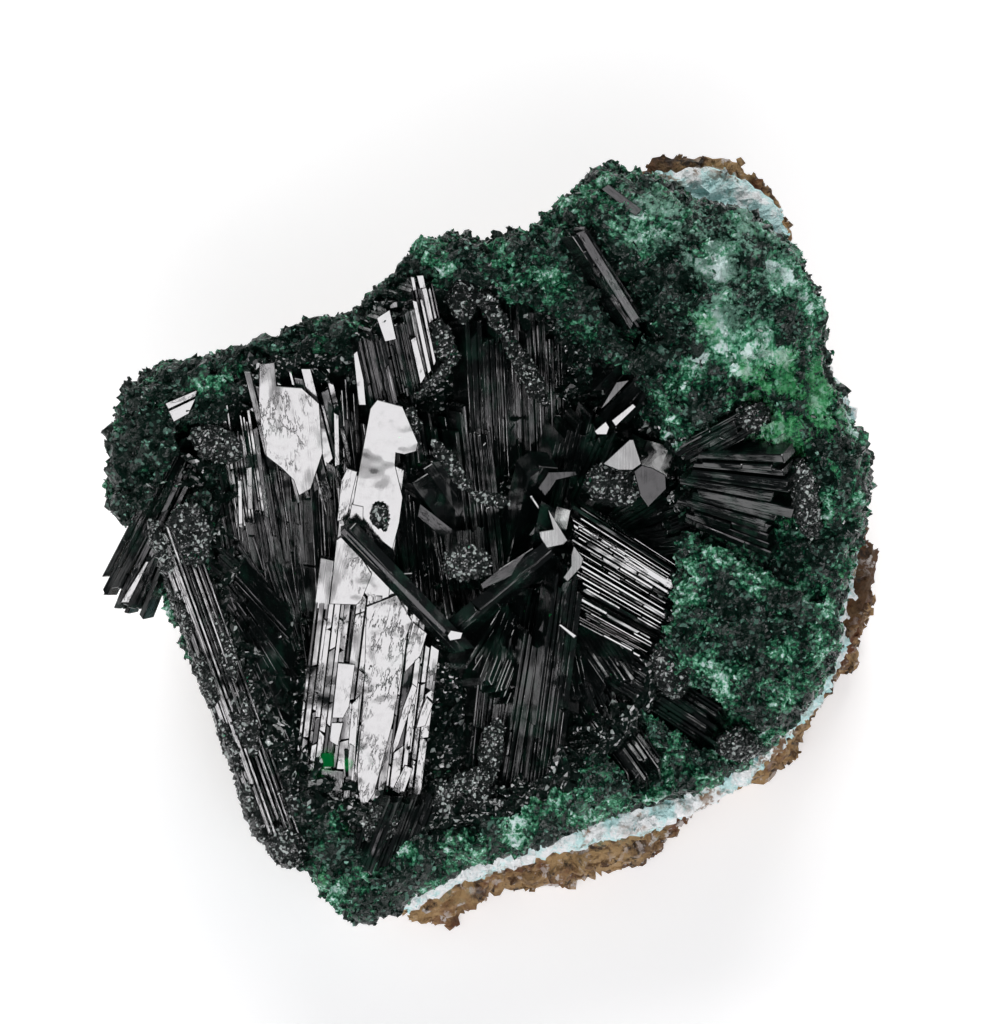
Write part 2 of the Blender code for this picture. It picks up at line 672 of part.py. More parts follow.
def lath_mesh(bundle, lath, draw):
    """One lath of a bundle, with slanting ends."""
    slope = (draw.uniform(-0.5, 0.5), draw.uniform(-0.4, 0.4))
    length = bundle_length(bundle)
    section = lath_section(lath, bundle.thick)
    return prism_mesh(bundle, section, lath.start * length, lath.end * length, slope)


def socket_mesh(bundle):
    """A plain prism a gap larger than the whole bundle, which cuts its socket in the crust."""
    length = bundle_length(bundle)
    left = min(lath.left for lath in bundle.laths) - GAP
    right = max(lath.right for lath in bundle.laths) + GAP
    top = SOCKET_TOP if bundle.open_top else max(lath.lift for lath in bundle.laths) + GAP
    bottom = -bundle.thick - 0.12 - GAP
    start = min(lath.start for lath in bundle.laths) * length - SOCKET_END
    end = max(lath.end for lath in bundle.laths) * length + SOCKET_END
    section = ((left, top), (right, top), (right, bottom), (left, bottom))
    return prism_mesh(bundle, section, start, end)


def crystal_node(name, bundles, ground=None):
    """One node of large prisms: its laths joined, with the ground they grew from if it has one."""
    draw = random.Random(name)
    meshes = [lath_mesh(bundle, lath, draw) for bundle in bundles for lath in bundle.laths]
    if ground is not None:
        meshes.insert(0, ground)
    node = object_of(name, meshes[0], "atacamite")
    laths = [
        object_of(f"{name}_lath_{i}", mesh, "atacamite", helper=True)
        for i, mesh in enumerate(meshes[1:])
    ]
    boolean(node, "UNION", laths)
    return node


def sockets(target, names):
    """The cutters that make room in the target for the named nodes' bundles."""
    return [
        object_of(f"{target}_socket_{name}_{i}", socket_mesh(bundle), "atacamite", helper=True)
        for name in names
        for i, bundle in enumerate(CRYSTALS[name])
    ]


def main():
    """Builds the specimen's solids."""
    for old in list(bpy.data.objects):
        bpy.data.objects.remove(old)
    object_of("limonite_base", base_body(), "limonite")
    object_of("chrysocolla_layer", layer_body(), "chrysocolla")
    rings = crust_rings()
    crust = object_of("green_crust", crust_body(rings), "green_crust")
    boolean(crust, "UNION", crust_stubs(count=26))
    boolean(crust, "DIFFERENCE", sockets("crust", CRYSTALS))
    hollow = crystal_node("hollow_crystals", HOLLOW_BUNDLES, lining_body(rings))
    boolean(hollow, "DIFFERENCE", sockets("hollow", RIM_CRYSTALS))
    for name in RIM_CRYSTALS:
        crystal_node(name, CRYSTALS[name])


main()
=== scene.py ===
"""Atacamite specimen: the finished meshes and looks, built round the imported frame.

A brown ore base carries a thin pale turquoise layer and a thick green crust. The crust has a hollow
full of long, black-green, glassy prisms. Each rock layer is a fine copy of its solid with lumps,
facets and grown grains. Each prism of the frame becomes a bundle of narrow ribs with broken ends.

Sizes are in millimetres in the face frame, as in the part's source: u runs across the crystal face,
v up it and w out of it.
"""

import logging
import math
import random
from dataclasses import dataclass, field
from enum import Enum
from typing import Any

import bmesh
import bpy
from mathutils import Matrix, Vector


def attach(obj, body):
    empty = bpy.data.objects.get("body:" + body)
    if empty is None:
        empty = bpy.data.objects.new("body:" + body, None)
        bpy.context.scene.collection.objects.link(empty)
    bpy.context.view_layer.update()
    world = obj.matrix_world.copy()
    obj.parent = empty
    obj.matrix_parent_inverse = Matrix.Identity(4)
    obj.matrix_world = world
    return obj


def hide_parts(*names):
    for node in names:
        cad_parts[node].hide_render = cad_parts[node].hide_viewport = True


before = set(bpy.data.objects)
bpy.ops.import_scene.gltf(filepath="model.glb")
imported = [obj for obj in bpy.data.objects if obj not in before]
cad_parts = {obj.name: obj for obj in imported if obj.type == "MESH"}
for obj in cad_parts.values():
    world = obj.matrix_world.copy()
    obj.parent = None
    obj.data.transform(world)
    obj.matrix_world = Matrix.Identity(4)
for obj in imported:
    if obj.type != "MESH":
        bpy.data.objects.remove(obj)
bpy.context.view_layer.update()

ROOT = "root"
MM = 0.001

log = logging.getLogger("atacamite_specimen")

Colour = tuple[float, float, float, float]
Place = tuple[float, float, float]
Outline = tuple[tuple[float, float], ...]
Socket = bpy.types.NodeSocket
Tree = bpy.types.NodeTree
Material = bpy.types.Material
Object = bpy.types.Object


class Slot(Enum):
    """The record's material slots."""

    LIMONITE = "limonite"
    CHRYSOCOLLA = "chrysocolla"
    GREEN_CRUST = "green_crust"
    ATACAMITE = "atacamite"


@dataclass(frozen=True)
class FaceFrame:
    """The frame of the crystal face, which leans forward over the resting face."""

    lean: float = math.radians(24.0)
    origin: Place = (0.328, -4.882, 26.0)

    def across(self) -> Vector:
        """The direction of u."""
        return Vector((1.0, 0.0, 0.0))

    def up(self) -> Vector:
        """The direction of v."""
        return Vector((0.0, math.cos(self.lean), math.sin(self.lean)))

    def out(self) -> Vector:
        """The direction of w."""
        return Vector((0.0, -math.sin(self.lean), math.cos(self.lean)))

    def vector(self, turned: Vector) -> Vector:
        """A direction or a shift of the face frame, as one of the world and in the same unit."""
        return turned.x * self.across() + turned.y * self.up() + turned.z * self.out()

    def point(self, place: Vector) -> Vector:
        """A place of the face frame, in metres of the world."""
        return (Vector(self.origin) + self.vector(place)) * MM


FACE = FaceFrame()


# Tools for node trees


class Graph:
    """Adds nodes to a tree and joins them, so that a tree reads as a list of steps."""

    def __init__(self, tree: Tree) -> None:
        """Takes the tree that the nodes go into."""
        self.tree = tree

    def add(self, kind: str, inputs: dict[Any, Any] | None = None, **settings: Any) -> bpy.types.Node:
        """Adds one node.

        Args:
            kind: the node's type name.
            inputs: for each input, by name or index, a value or the socket that feeds it.
            settings: the node's own properties.

        Returns:
            The node.
        """
        node = self.tree.nodes.new(kind)
        for name, value in settings.items():
            setattr(node, name, value)
        for name, value in (inputs or {}).items():
            self.feed(node.inputs[name], value)
        return node

    def feed(self, socket: Socket, value: Any) -> None:
        """Links a socket to another, or sets its value.

        Args:
            socket: the input.
            value: the socket that feeds it, or its own value.
        """
        if isinstance(value, Socket):
            self.tree.links.new(value, socket)
        else:
            socket.default_value = value

    def math(self, operation: str, *values: Any) -> Socket:
        """The result of a Math node on up to three values."""
        return self.add("ShaderNodeMath", dict(enumerate(values)), operation=operation).outputs[0]

    def plus(self, first: Any, second: Any) -> Socket:
        """A sum."""
        return self.math("ADD", first, second)

    def minus(self, first: Any, second: Any) -> Socket:
        """A difference."""
        return self.math("SUBTRACT", first, second)

    def times(self, first: Any, second: Any) -> Socket:
        """A product."""
        return self.math("MULTIPLY", first, second)

    def over(self, first: Any, second: Any) -> Socket:
        """A quotient."""
        return self.math("DIVIDE", first, second)

    def most(self, first: Any, second: Any) -> Socket:
        """The larger of two values."""
        return self.math("MAXIMUM", first, second)

    def times_plus(self, first: Any, second: Any, added: Any) -> Socket:
        """A product with a third value added."""
        return self.math("MULTIPLY_ADD", first, second, added)

    def vector(self, operation: str, first: Any, second: Any) -> Socket:
        """The result of a Vector Math node.

        Args:
            operation: the node's operation.
            first: a vector.
            second: a second vector or, for a scaled one, the factor.

        Returns:
            A vector or, for a dot product or a length, a value.
        """
        name = "Scale" if operation == "SCALE" else 1
        node = self.add("ShaderNodeVectorMath", {0: first, name: second}, operation=operation)
        return node.outputs["Value" if operation in ("DOT_PRODUCT", "LENGTH") else "Vector"]

    def ramp(self, value: Any, low: Any, high: Any, start: Any = 0.0, end: Any = 1.0) -> Socket:
        """A value that goes smoothly from start to end as another goes from low to high."""
        inputs = {"Value": value, "From Min": low, "From Max": high, "To Min": start, "To Max": end}
        return self.add("ShaderNodeMapRange", inputs, interpolation_type="SMOOTHSTEP").outputs[0]

    def blend(self, factor: Any, first: Any, second: Any) -> Socket:
        """A colour between two others."""
        return self.add("ShaderNodeMix", {0: factor, 6: first, 7: second}, data_type="RGBA").outputs[2]

    def noise(self, vector: Any, scale: Any, detail: float = 3.0, roughness: float = 0.55) -> Socket:
        """Noise about 0.5 at a vector."""
        inputs = {"Vector": vector, "Scale": scale, "Detail": detail, "Roughness": roughness}
        return self.add("ShaderNodeTexNoise", inputs).outputs[0]

    def group(self, tree: Tree, inputs: dict[str, Any]) -> bpy.types.Node:
        """A node that uses a shader group with its own values."""
        return self.add("ShaderNodeGroup", inputs, node_tree=tree)

    def joined(self, *parts: Any) -> Socket:
        """A vector of three parts."""
        return self.add("ShaderNodeCombineXYZ", dict(enumerate(parts))).outputs[0]

    def random(self, low: Any, high: Any, seed: Any) -> Socket:
        """A random value between two others, in a geometry tree."""
        inputs = {2: low, 3: high, "Seed": seed}
        return self.add("FunctionNodeRandomValue", inputs, data_type="FLOAT").outputs[1]

    def cells(self, place: Any, size: Any) -> bpy.types.Node:
        """Cells about one size across, each with its own colour."""
        return self.add("ShaderNodeTexVoronoi", {"Vector": place, "Scale": self.over(1.0, size)})

    def slope(self, place: Any, cells: bpy.types.Node) -> Socket:
        """The height of flat facets that lean every way, one on each cell.

        Args:
            place: the vector that the cells were laid out on.
            cells: the cells.

        Returns:
            The height, 0 at the middle of each cell.
        """
        arm = self.vector("SUBTRACT", place, cells.outputs["Position"])
        lean = self.vector("SUBTRACT", cells.outputs["Color"], (0.5, 0.5, 0.5))
        return self.vector("DOT_PRODUCT", arm, lean)


def interface(tree: Tree, way: str, sockets: dict[str, str]) -> None:
    """Gives a tree its named inputs or outputs.

    Args:
        tree: the tree.
        way: INPUT or OUTPUT.
        sockets: for each socket's name, the end of its type name, such as Float.
    """
    for name, kind in sockets.items():
        tree.interface.new_socket(name, in_out=way, socket_type=f"NodeSocket{kind}")


def shader_group(name: str, inputs: dict[str, str], outputs: dict[str, str]) -> tuple[Graph, Any, Any]:
    """Starts a shader group.

    Args:
        name: the group's name.
        inputs: its inputs, as name and kind.
        outputs: its outputs, as name and kind.

    Returns:
        Its graph, its input node and its output node.
    """
    tree = bpy.data.node_groups.new(name, "ShaderNodeTree")
    interface(tree, "INPUT", inputs)
    interface(tree, "OUTPUT", outputs)
    graph = Graph(tree)
    return graph, graph.add("NodeGroupInput"), graph.add("NodeGroupOutput")


def patches_group() -> Tree:
    """A mask of uneven patches, of one size, that cover a share of the surface.

    Returns:
        The group.
    """
    graph, given, result = shader_group(
        "patches",
        {"Vector": "Vector", "Size": "Float", "Share": "Float", "Edge": "Float", "Seed": "Float"},
        {"Mask": "Float"},
    )
    values = given.outputs
    inputs = {"Vector": values["Vector"], "W": values["Seed"], "Scale": graph.over(1.0, values["Size"])}
    inputs.update({"Detail": 5.0, "Roughness": 0.62})
    noise = graph.add("ShaderNodeTexNoise", inputs, noise_dimensions="4D")
    # Noise stays mostly between 0.25 and 0.75
    level = graph.times_plus(values["Share"], -0.5, 0.75)
    low = graph.minus(level, values["Edge"])
    high = graph.plus(level, values["Edge"])
    graph.feed(result.inputs["Mask"], graph.ramp(noise.outputs[0], low, high))
    return graph.tree


def facets_group() -> Tree:
    """A relief of flat facets that lean every way, with a tone for each facet.

    Returns:
        The group.
    """
    graph, given, result = shader_group(
        "facets", {"Vector": "Vector", "Size": "Float"}, {"Height": "Float", "Tone": "Float"}
    )
    place, size = given.outputs["Vector"], given.outputs["Size"]
    cells = graph.cells(place, size)
    graph.feed(result.inputs["Height"], graph.over(graph.slope(place, cells), size))
    tone = graph.add("ShaderNodeSeparateColor", {0: cells.outputs["Color"]})
    graph.feed(result.inputs["Tone"], tone.outputs[0])
    return graph.tree


def face_group() -> Tree:
    """Object coordinates turned into millimetres of the face frame.

    Returns:
        The group.
    """
    graph, given, result = shader_group(
        "face_coordinates", {"Object": "Vector"}, {"Face": "Vector", "U": "Float", "W": "Float"}
    )
    scaled = graph.vector("SCALE", given.outputs["Object"], 1.0 / MM)
    shifted = graph.vector("SUBTRACT", scaled, FACE.origin)
    axes = (FACE.across(), FACE.up(), FACE.out())
    u, v, w = (graph.vector("DOT_PRODUCT", shifted, tuple(axis)) for axis in axes)
    for name, value in (("Face", graph.joined(u, v, w)), ("U", u), ("W", w)):
        graph.feed(result.inputs[name], value)
    return graph.tree


def zone_group() -> Tree:
    """A soft spot round one place, its edge made uneven by noise.

    Returns:
        The group.
    """
    graph, given, result = shader_group(
        "zone", {"Vector": "Vector", "Place": "Vector", "Radius": "Float"}, {"Mask": "Float"}
    )
    arm = graph.vector("SUBTRACT", given.outputs["Vector"], given.outputs["Place"])
    distance = graph.vector("LENGTH", arm, (0.0, 0.0, 0.0))
    share = graph.over(distance, given.outputs["Radius"])
    uneven = graph.noise(given.outputs["Vector"], 0.7, 4.0, 0.6)
    # The noise moves the edge by 0.8 of the radius at most, either way
    warped = graph.times_plus(uneven, 1.6, graph.minus(share, 0.8))
    graph.feed(result.inputs["Mask"], graph.ramp(warped, 1.15, 0.55))
    return graph.tree


@dataclass(frozen=True)
class SharedGroups:
    """The shader groups that more than one finish uses."""

    patches: Tree
    facets: Tree
    face: Tree
    zone: Tree


def shared_groups() -> SharedGroups:
    """Builds every shared shader group once."""
    return SharedGroups(patches_group(), facets_group(), face_group(), zone_group())


# Finishes


class Shading:
    """A new material with its shader, and the steps that the finishes have in common."""

    def __init__(self, name: str, groups: SharedGroups, fixed: dict[str, Any]) -> None:
        """Starts a material.

        Args:
            name: the material's name.
            groups: the shared groups.
            fixed: numbers that are the same all over the surface, by shader socket.
        """
        self.material = bpy.data.materials.new(name)
        self.material.use_nodes = True
        self.graph = Graph(self.material.node_tree)
        self.groups = groups
        self.shader = self.material.node_tree.nodes["Principled BSDF"]
        for socket, value in fixed.items():
            self.shader.inputs[socket].default_value = value
        coordinates = self.graph.add("ShaderNodeTexCoord")
        self.uv = coordinates.outputs["UV"]
        face = self.graph.group(groups.face, {"Object": coordinates.outputs["Object"]})
        self.face = face.outputs["Face"]
        self.u, self.w = face.outputs["U"], face.outputs["W"]

    def tone(self, name: str = "tone") -> Socket:
        """The value that a mesh holds for each of its grains or ribs."""
        return self.graph.add("ShaderNodeAttribute", attribute_name=name).outputs["Fac"]

    def patches(self, size: float, share: Any, edge: float, seed: float) -> Socket:
        """A mask of patches: their size, their share of the surface, how soft their edge is, a seed."""
        values = {"Vector": self.face, "Size": size, "Share": share, "Edge": edge, "Seed": seed}
        return self.graph.group(self.groups.patches, values).outputs["Mask"]

    def zone(self, place: Place, radius: float) -> Socket:
        """A mask round one place of the face frame."""
        values = {"Vector": self.face, "Place": place, "Radius": radius}
        return self.graph.group(self.groups.zone, values).outputs["Mask"]

    def facets(self, size: float) -> tuple[Socket, Socket]:
        """The height and the tone of a relief of facets."""
        node = self.graph.group(self.groups.facets, {"Vector": self.face, "Size": size})
        return node.outputs["Height"], node.outputs["Tone"]

    def relief(self, height: Any, depth: float, under: Any = None) -> Socket:
        """The normal of a relief.

        Args:
            height: how high the surface stands, from 0 to 1.
            depth: the height of 1, in millimetres.
            under: the normal of a coarser relief, if this one lies on it.

        Returns:
            The normal.
        """
        inputs = {"Height": height, "Distance": depth * MM, "Strength": 1.0}
        if under is not None:
            inputs["Normal"] = under
        return self.graph.add("ShaderNodeBump", inputs).outputs["Normal"]

    def ramp_colours(self, value: Any, stops: tuple[tuple[float, Colour], ...]) -> Socket:
        """A colour from a row of stops.

        Args:
            value: what the colour is read at.
            stops: each stop's value and colour, from low to high.

        Returns:
            The colour.
        """
        node = self.graph.add("ShaderNodeValToRGB", {0: value})
        elements = node.color_ramp.elements
        while len(elements) < len(stops):
            elements.new(1.0)
        for element, (place, colour) in zip(elements, stops):
            element.position = place
            element.color = colour
        return node.outputs[0]

    def coats(self, base: Any, *coats: tuple[Any, Colour]) -> Any:
        """A base colour under coats of other colours.

        Args:
            base: the colour under them.
            coats: each coat's mask and colour, from the lowest to the highest.

        Returns:
            The colour.
        """
        for mask, colour in coats:
            base = self.graph.blend(mask, base, colour)
        return base

    def dress(self, **sockets: Any) -> Material:
        """Feeds the shader's sockets and gives the finished material.

        Args:
            sockets: what feeds each socket, its name written with underscores.

        Returns:
            The material.
        """
        for name, value in sockets.items():
            self.graph.feed(self.shader.inputs[name.replace("_", " ").title()], value)
        return self.material


@dataclass(frozen=True)
class AtacamiteFinish:
    """Glassy black-green prisms, ribbed along their length, with a few spots of painted green glow that shine
    by emission.
    """

    body: Colour = (0.0025, 0.0042, 0.0040, 1.0)
    worn: Colour = (0.006, 0.022, 0.015, 1.0)
    # The colour of the painted glow, in the base colour and in the emission
    painted_glow_emerald: Colour = (0.0, 0.13, 0.026, 1.0)
    ior: float = 1.88
    rib_size: float = 0.11
    rib_depth: float = 0.0032
    deep_rib_depth: float = 0.030
    swell_depth: float = 1.1
    wave_depth: float = 0.34
    etch_depth: float = 0.022
    # Places of painted glow, standing in for light shining through the crystal
    painted_glow_places: tuple[tuple[Place, float], ...] = (
        ((-9.5, -12.9, -5.9), 0.8),
        ((-8.35, -13.1, -6.0), 0.4),
        ((-10.4, -14.3, -6.4), 0.9),
        ((-8.9, -17.2, -6.0), 1.1),
        ((-3.0, 9.0, -5.0), 0.8),
    )

    def material(self, name: str, groups: SharedGroups) -> Material:
        """Builds the material.

        Args:
            name: its name.
            groups: the shared groups.

        Returns:
            The material.
        """
        shading = Shading(name, groups, {"IOR": self.ior, "Emission Strength": 0.14})
        graph, face = shading.graph, shading.face
        parts = graph.add("ShaderNodeSeparateXYZ", {0: shading.uv})
        across, along = parts.outputs[0], parts.outputs[1]
        seed = graph.times(shading.tone(), 40.0)
        lines = graph.joined(graph.over(across, self.rib_size), graph.times(along, 0.35), seed)
        depth = graph.times_plus(shading.tone("stria"), self.deep_rib_depth, self.rib_depth)
        ribs = graph.times(graph.noise(lines, 1.0, 3.0, 0.6), depth)
        worms = graph.joined(graph.times(across, 1.5), graph.times(along, 0.45), seed)
        contour = graph.math("ABSOLUTE", graph.minus(graph.noise(worms, 1.0, 4.0, 0.62), 0.5))
        cracks = graph.ramp(contour, 0.016, 0.004)
        pits = graph.ramp(graph.noise(worms, 3.4, 3.0, 0.65), 0.56, 0.64)
        etched = graph.times(graph.most(cracks, pits), shading.tone("etch"))
        etched = graph.times(etched, graph.ramp(graph.noise(face, 0.5, 3.0), 0.44, 0.60))
        uneven = shading.tone("wave")
        swell = graph.times(graph.noise(face, 0.13, 1.0, 0.4), uneven)
        ripple = graph.times(graph.noise(face, 0.34, 2.0, 0.4), uneven)
        normal = shading.relief(swell, self.swell_depth)
        normal = shading.relief(ripple, self.wave_depth, normal)
        normal = shading.relief(ribs, 1.0, normal)
        normal = shading.relief(graph.times(etched, -1.0), self.etch_depth, normal)
        # Painted glow: green spots, in sparse random patches and round the places listed, that shine by their
        # own emission
        painted_glows = graph.times(shading.patches(1.3, 0.08, 0.015, 3.0), shading.patches(0.35, 0.55, 0.03, 8.0))
        for place, radius in self.painted_glow_places:
            painted_glows = graph.most(painted_glows, shading.zone(place, radius))
        worn = shading.patches(1.6, 0.35, 0.08, 1.0)
        rough = graph.ramp(graph.noise(face, 2.2, 4.0), 0.35, 0.8, 0.05, 0.20)
        return shading.dress(
            base_color=shading.coats(self.body, (worn, self.worn), (painted_glows, self.painted_glow_emerald)),
            roughness=graph.times_plus(etched, 0.5, rough),
            emission_color=graph.blend(painted_glows, (0.0, 0.0, 0.0, 1.0), self.painted_glow_emerald),
            normal=normal,
        )


@dataclass(frozen=True)
class DruseFinish:
    """The small dark crystals that line the hollow, glittering on many small faces from their facets, with a
    few faces coloured light grey as painted highlights.
    """

    dark: Colour = (0.0030, 0.0085, 0.0065, 1.0)
    green: Colour = (0.005, 0.062, 0.032, 1.0)
    bright: Colour = (0.02, 0.22, 0.11, 1.0)
    # The colour of the painted highlights
    painted_sparkle: Colour = (0.42, 0.47, 0.45, 1.0)
    ior: float = 1.68
    green_share: float = 0.45
    # The share of the facets that get painted highlights
    painted_sparkle_share: float = 0.03
    facet_size: float = 0.24

    def material(self, name: str, groups: SharedGroups) -> Material:
        """Builds the material.

        Args:
            name: its name.
            groups: the shared groups.

        Returns:
            The material.
        """
        shading = Shading(name, groups, {"IOR": self.ior})
        graph = shading.graph
        height, cell = shading.facets(self.facet_size)
        green = graph.times(
            shading.patches(2.2, self.green_share, 0.05, 5.0), graph.ramp(shading.tone(), 0.2, 0.8)
        )
        bright = graph.times(shading.patches(0.9, 0.16, 0.02, 9.0), graph.ramp(cell, 0.3, 0.6))
        # Painted highlights: a few random facets get a light grey colour that stands in for glitter
        painted_sparkling = graph.math("GREATER_THAN", cell, 1.0 - self.painted_sparkle_share)
        base = shading.coats(
            self.dark, (green, self.green), (bright, self.bright), (painted_sparkling, self.painted_sparkle)
        )
        rough = graph.ramp(cell, 0.2, 0.9, 0.05, 0.20)
        return shading.dress(base_color=base, roughness=rough, normal=shading.relief(height, 0.17))


@dataclass(frozen=True)
class CrustFinish:
    """The green crust: black-green, malachite and mint, grained, with pale patches; it glitters from its
    facets and from painted highlights on a few of them.
    """

    black: Colour = (0.0030, 0.0125, 0.0085, 1.0)
    deep: Colour = (0.006, 0.046, 0.027, 1.0)
    green: Colour = (0.012, 0.100, 0.046, 1.0)
    malachite: Colour = (0.035, 0.235, 0.110, 1.0)
    mint: Colour = (0.22, 0.50, 0.36, 1.0)
    pale: Colour = (0.66, 0.80, 0.78, 1.0)
    turquoise: Colour = (0.36, 0.66, 0.68, 1.0)
    teal: Colour = (0.17, 0.31, 0.25, 1.0)
    grass: Colour = (0.035, 0.26, 0.075, 1.0)
    # The colour of the painted highlights
    painted_sparkle: Colour = (0.20, 0.42, 0.33, 1.0)
    shade_levels: tuple[float, ...] = (0.38, 0.50, 0.60, 0.72, 0.86, 0.98)
    ior: float = 1.40
    facet_size: float = 0.22
    smooth_places: tuple[tuple[Place, float], ...] = (((14.6, 11.8, 0.2), 2.6), ((17.6, 8.2, -0.6), 3.4))
    rich_places: tuple[tuple[Place, float, float], ...] = (
        ((12.6, 16.0, -0.6), 1.5, 0.42),
        ((15.4, 14.4, -0.6), 1.4, 0.46),
        ((16.6, 15.6, -1.0), 0.8, 0.50),
        ((14.6, 11.8, 0.2), 2.8, 0.30),
        ((17.4, 8.2, -0.6), 3.6, 0.26),
        ((9.0, 17.6, -0.6), 3.4, 0.10),
        ((14.0, 18.2, -1.0), 3.6, 0.10),
        ((12.2, 9.2, 0.0), 1.6, 0.14),
        ((11.0, 14.2, 0.0), 2.4, -0.34),
        ((8.6, 11.6, -1.0), 2.8, -0.34),
        ((6.6, 15.6, -0.6), 2.4, -0.20),
        ((12.6, 6.4, -1.0), 2.4, -0.26),
        ((19.4, 4.0, -2.0), 2.6, -0.22),
        ((19.8, -0.6, -2.4), 2.6, -0.16),
        ((15.4, -3.4, -1.0), 3.0, -0.16),
        ((-19.0, 3.0, -4.0), 4.0, -0.16),
        ((13.4, -6.4, -2.0), 2.4, 0.14),
        ((10.6, -9.6, -3.0), 2.0, 0.14),
        ((17.4, -9.6, -2.0), 2.6, 0.10),
        ((-9.5, -19.0, -5.5), 3.6, 0.20),
        ((-4.0, -18.4, -4.0), 2.6, 0.12),
        ((2.6, -17.0, -4.0), 2.6, 0.10),
        ((-15.6, 8.4, -3.4), 1.6, 0.14),
        ((-6.8, 13.6, -4.0), 1.6, 0.14),
        ((-3.0, 16.6, -3.0), 2.0, 0.08),
        ((5.8, 19.4, -1.6), 1.2, 0.16),
        ((20.4, 7.0, -4.0), 1.8, 0.55),
        ((9.4, 12.6, -1.0), 0.5, 0.75),
        ((12.3, 10.8, 0.3), 0.6, 0.75),
    )

    def richness(self, shading: Shading) -> Socket:
        """How green and pale the crust is at a place, from 0 for black to 1 for pale mint.

        Args:
            shading: the material's shading.

        Returns:
            The value.
        """
        graph, face = shading.graph, shading.face
        coarse = graph.minus(graph.noise(face, 0.42, 4.0, 0.6), 0.5)
        fine = graph.minus(graph.noise(face, 3.0, 4.0, 0.7), 0.5)
        right = graph.ramp(shading.u, 4.0, 14.0, 0.0, 0.12)
        left = graph.ramp(shading.u, -6.0, -15.0, 0.0, -0.12)
        smooth = graph.most(*(shading.zone(place, radius) for place, radius in self.smooth_places))
        grainy = graph.times(fine, graph.times_plus(smooth, -0.9, 1.7))
        value = graph.times_plus(coarse, 2.6, graph.plus(grainy, 0.42))
        value = graph.plus(value, graph.plus(right, left))
        for place, radius, gain in self.rich_places:
            value = graph.times_plus(shading.zone(place, radius), gain, value)
        return value

    def material(self, name: str, groups: SharedGroups) -> Material:
        """Builds the material.

        Args:
            name: its name.
            groups: the shared groups.

        Returns:
            The material.
        """
        shading = Shading(name, groups, {"IOR": self.ior})
        graph, face = shading.graph, shading.face
        height, cell = shading.facets(self.facet_size)
        drawn_out = {"Vector": face, "Scale": (3.6, 0.42, 1.2), "Rotation": (0.0, 0.0, 0.2)}
        streaks = graph.noise(graph.add("ShaderNodeMapping", drawn_out).outputs[0], 1.0, 4.0, 0.6)
        streaks = graph.times(graph.minus(streaks, 0.5), shading.zone((16.6, 8.2, -1.0), 4.6))
        own = graph.minus(shading.tone(), 0.5)
        value = graph.times_plus(own, 0.20, self.richness(shading))
        value = graph.times_plus(graph.minus(cell, 0.5), 0.26, value)
        value = graph.times_plus(streaks, 0.9, value)
        shades = (self.black, self.deep, self.green, self.malachite, self.mint, self.pale)
        base = shading.ramp_colours(value, tuple(zip(self.shade_levels, shades)))
        teal = graph.times(shading.zone((13.0, 17.0, -1.0), 6.0), shading.patches(1.2, 0.55, 0.06, 11.0))
        teal = graph.times(teal, graph.ramp(value, 0.40, 0.60, 0.0, 0.75))
        grass = graph.most(shading.zone((17.4, 7.4, -0.6), 4.0), shading.patches(2.4, 0.22, 0.05, 12.0))
        grass = graph.times(graph.times(grass, graph.ramp(value, 0.48, 0.66)), 0.7)
        # Painted highlights: a few random facets are coloured pale green to stand in for glitter
        painted_spark = graph.times(graph.math("GREATER_THAN", cell, 0.90), graph.ramp(own, -0.1, 0.3, 0.3, 1.0))
        low = graph.plus(shading.w, graph.times(graph.noise(face, 0.55, 4.0), 5.0))
        turquoise = graph.times(graph.ramp(low, -9.0, -10.6), shading.patches(2.6, 0.60, 0.10, 13.0))
        base = shading.coats(
            base,
            (teal, self.teal),
            (grass, self.grass),
            (painted_spark, self.painted_sparkle),
            (turquoise, self.turquoise),
        )
        rough = graph.ramp(cell, 0.2, 0.8, 0.08, 0.34)
        rough = graph.times_plus(graph.ramp(value, 0.5, 0.9), 0.25, rough)
        grain = graph.times_plus(graph.noise(face, 5.0, 3.0), 0.5, height)
        return shading.dress(base_color=base, roughness=rough, normal=shading.relief(grain, 0.16))


@dataclass(frozen=True)
class ChrysocollaFinish:
    """Chalky pale turquoise with whiter patches, blue veins and brown dust."""

    turquoise: Colour = (0.60, 0.87, 0.86, 1.0)
    white: Colour = (0.93, 0.95, 0.95, 1.0)
    blue: Colour = (0.44, 0.72, 0.74, 1.0)
    dust: Colour = (0.22, 0.12, 0.05, 1.0)
    green: Colour = (0.03, 0.16, 0.10, 1.0)

    def material(self, name: str, groups: SharedGroups) -> Material:
        """Builds the material.

        Args:
            name: its name.
            groups: the shared groups.

        Returns:
            The material.
        """
        shading = Shading(name, groups, {"IOR": 1.5})
        graph, face = shading.graph, shading.face
        dust = graph.times(shading.patches(0.9, 0.42, 0.04, 6.0), shading.patches(4.0, 0.50, 0.08, 8.0))
        green = graph.most(shading.patches(0.6, 0.14, 0.03, 7.0), shading.zone((12.4, 21.3, -8.0), 0.9))
        base = shading.coats(
            self.turquoise,
            (shading.patches(1.6, 0.5, 0.06, 2.0), self.white),
            (shading.patches(0.8, 0.22, 0.05, 4.0), self.blue),
            (dust, self.dust),
            (green, self.green),
        )
        height = graph.times_plus(graph.noise(face, 6.0, 3.0), 0.5, graph.noise(face, 1.6, 4.0))
        rough = graph.ramp(graph.noise(face, 2.0), 0.3, 0.7, 0.5, 0.8)
        return shading.dress(base_color=base, roughness=rough, normal=shading.relief(height, 0.35))


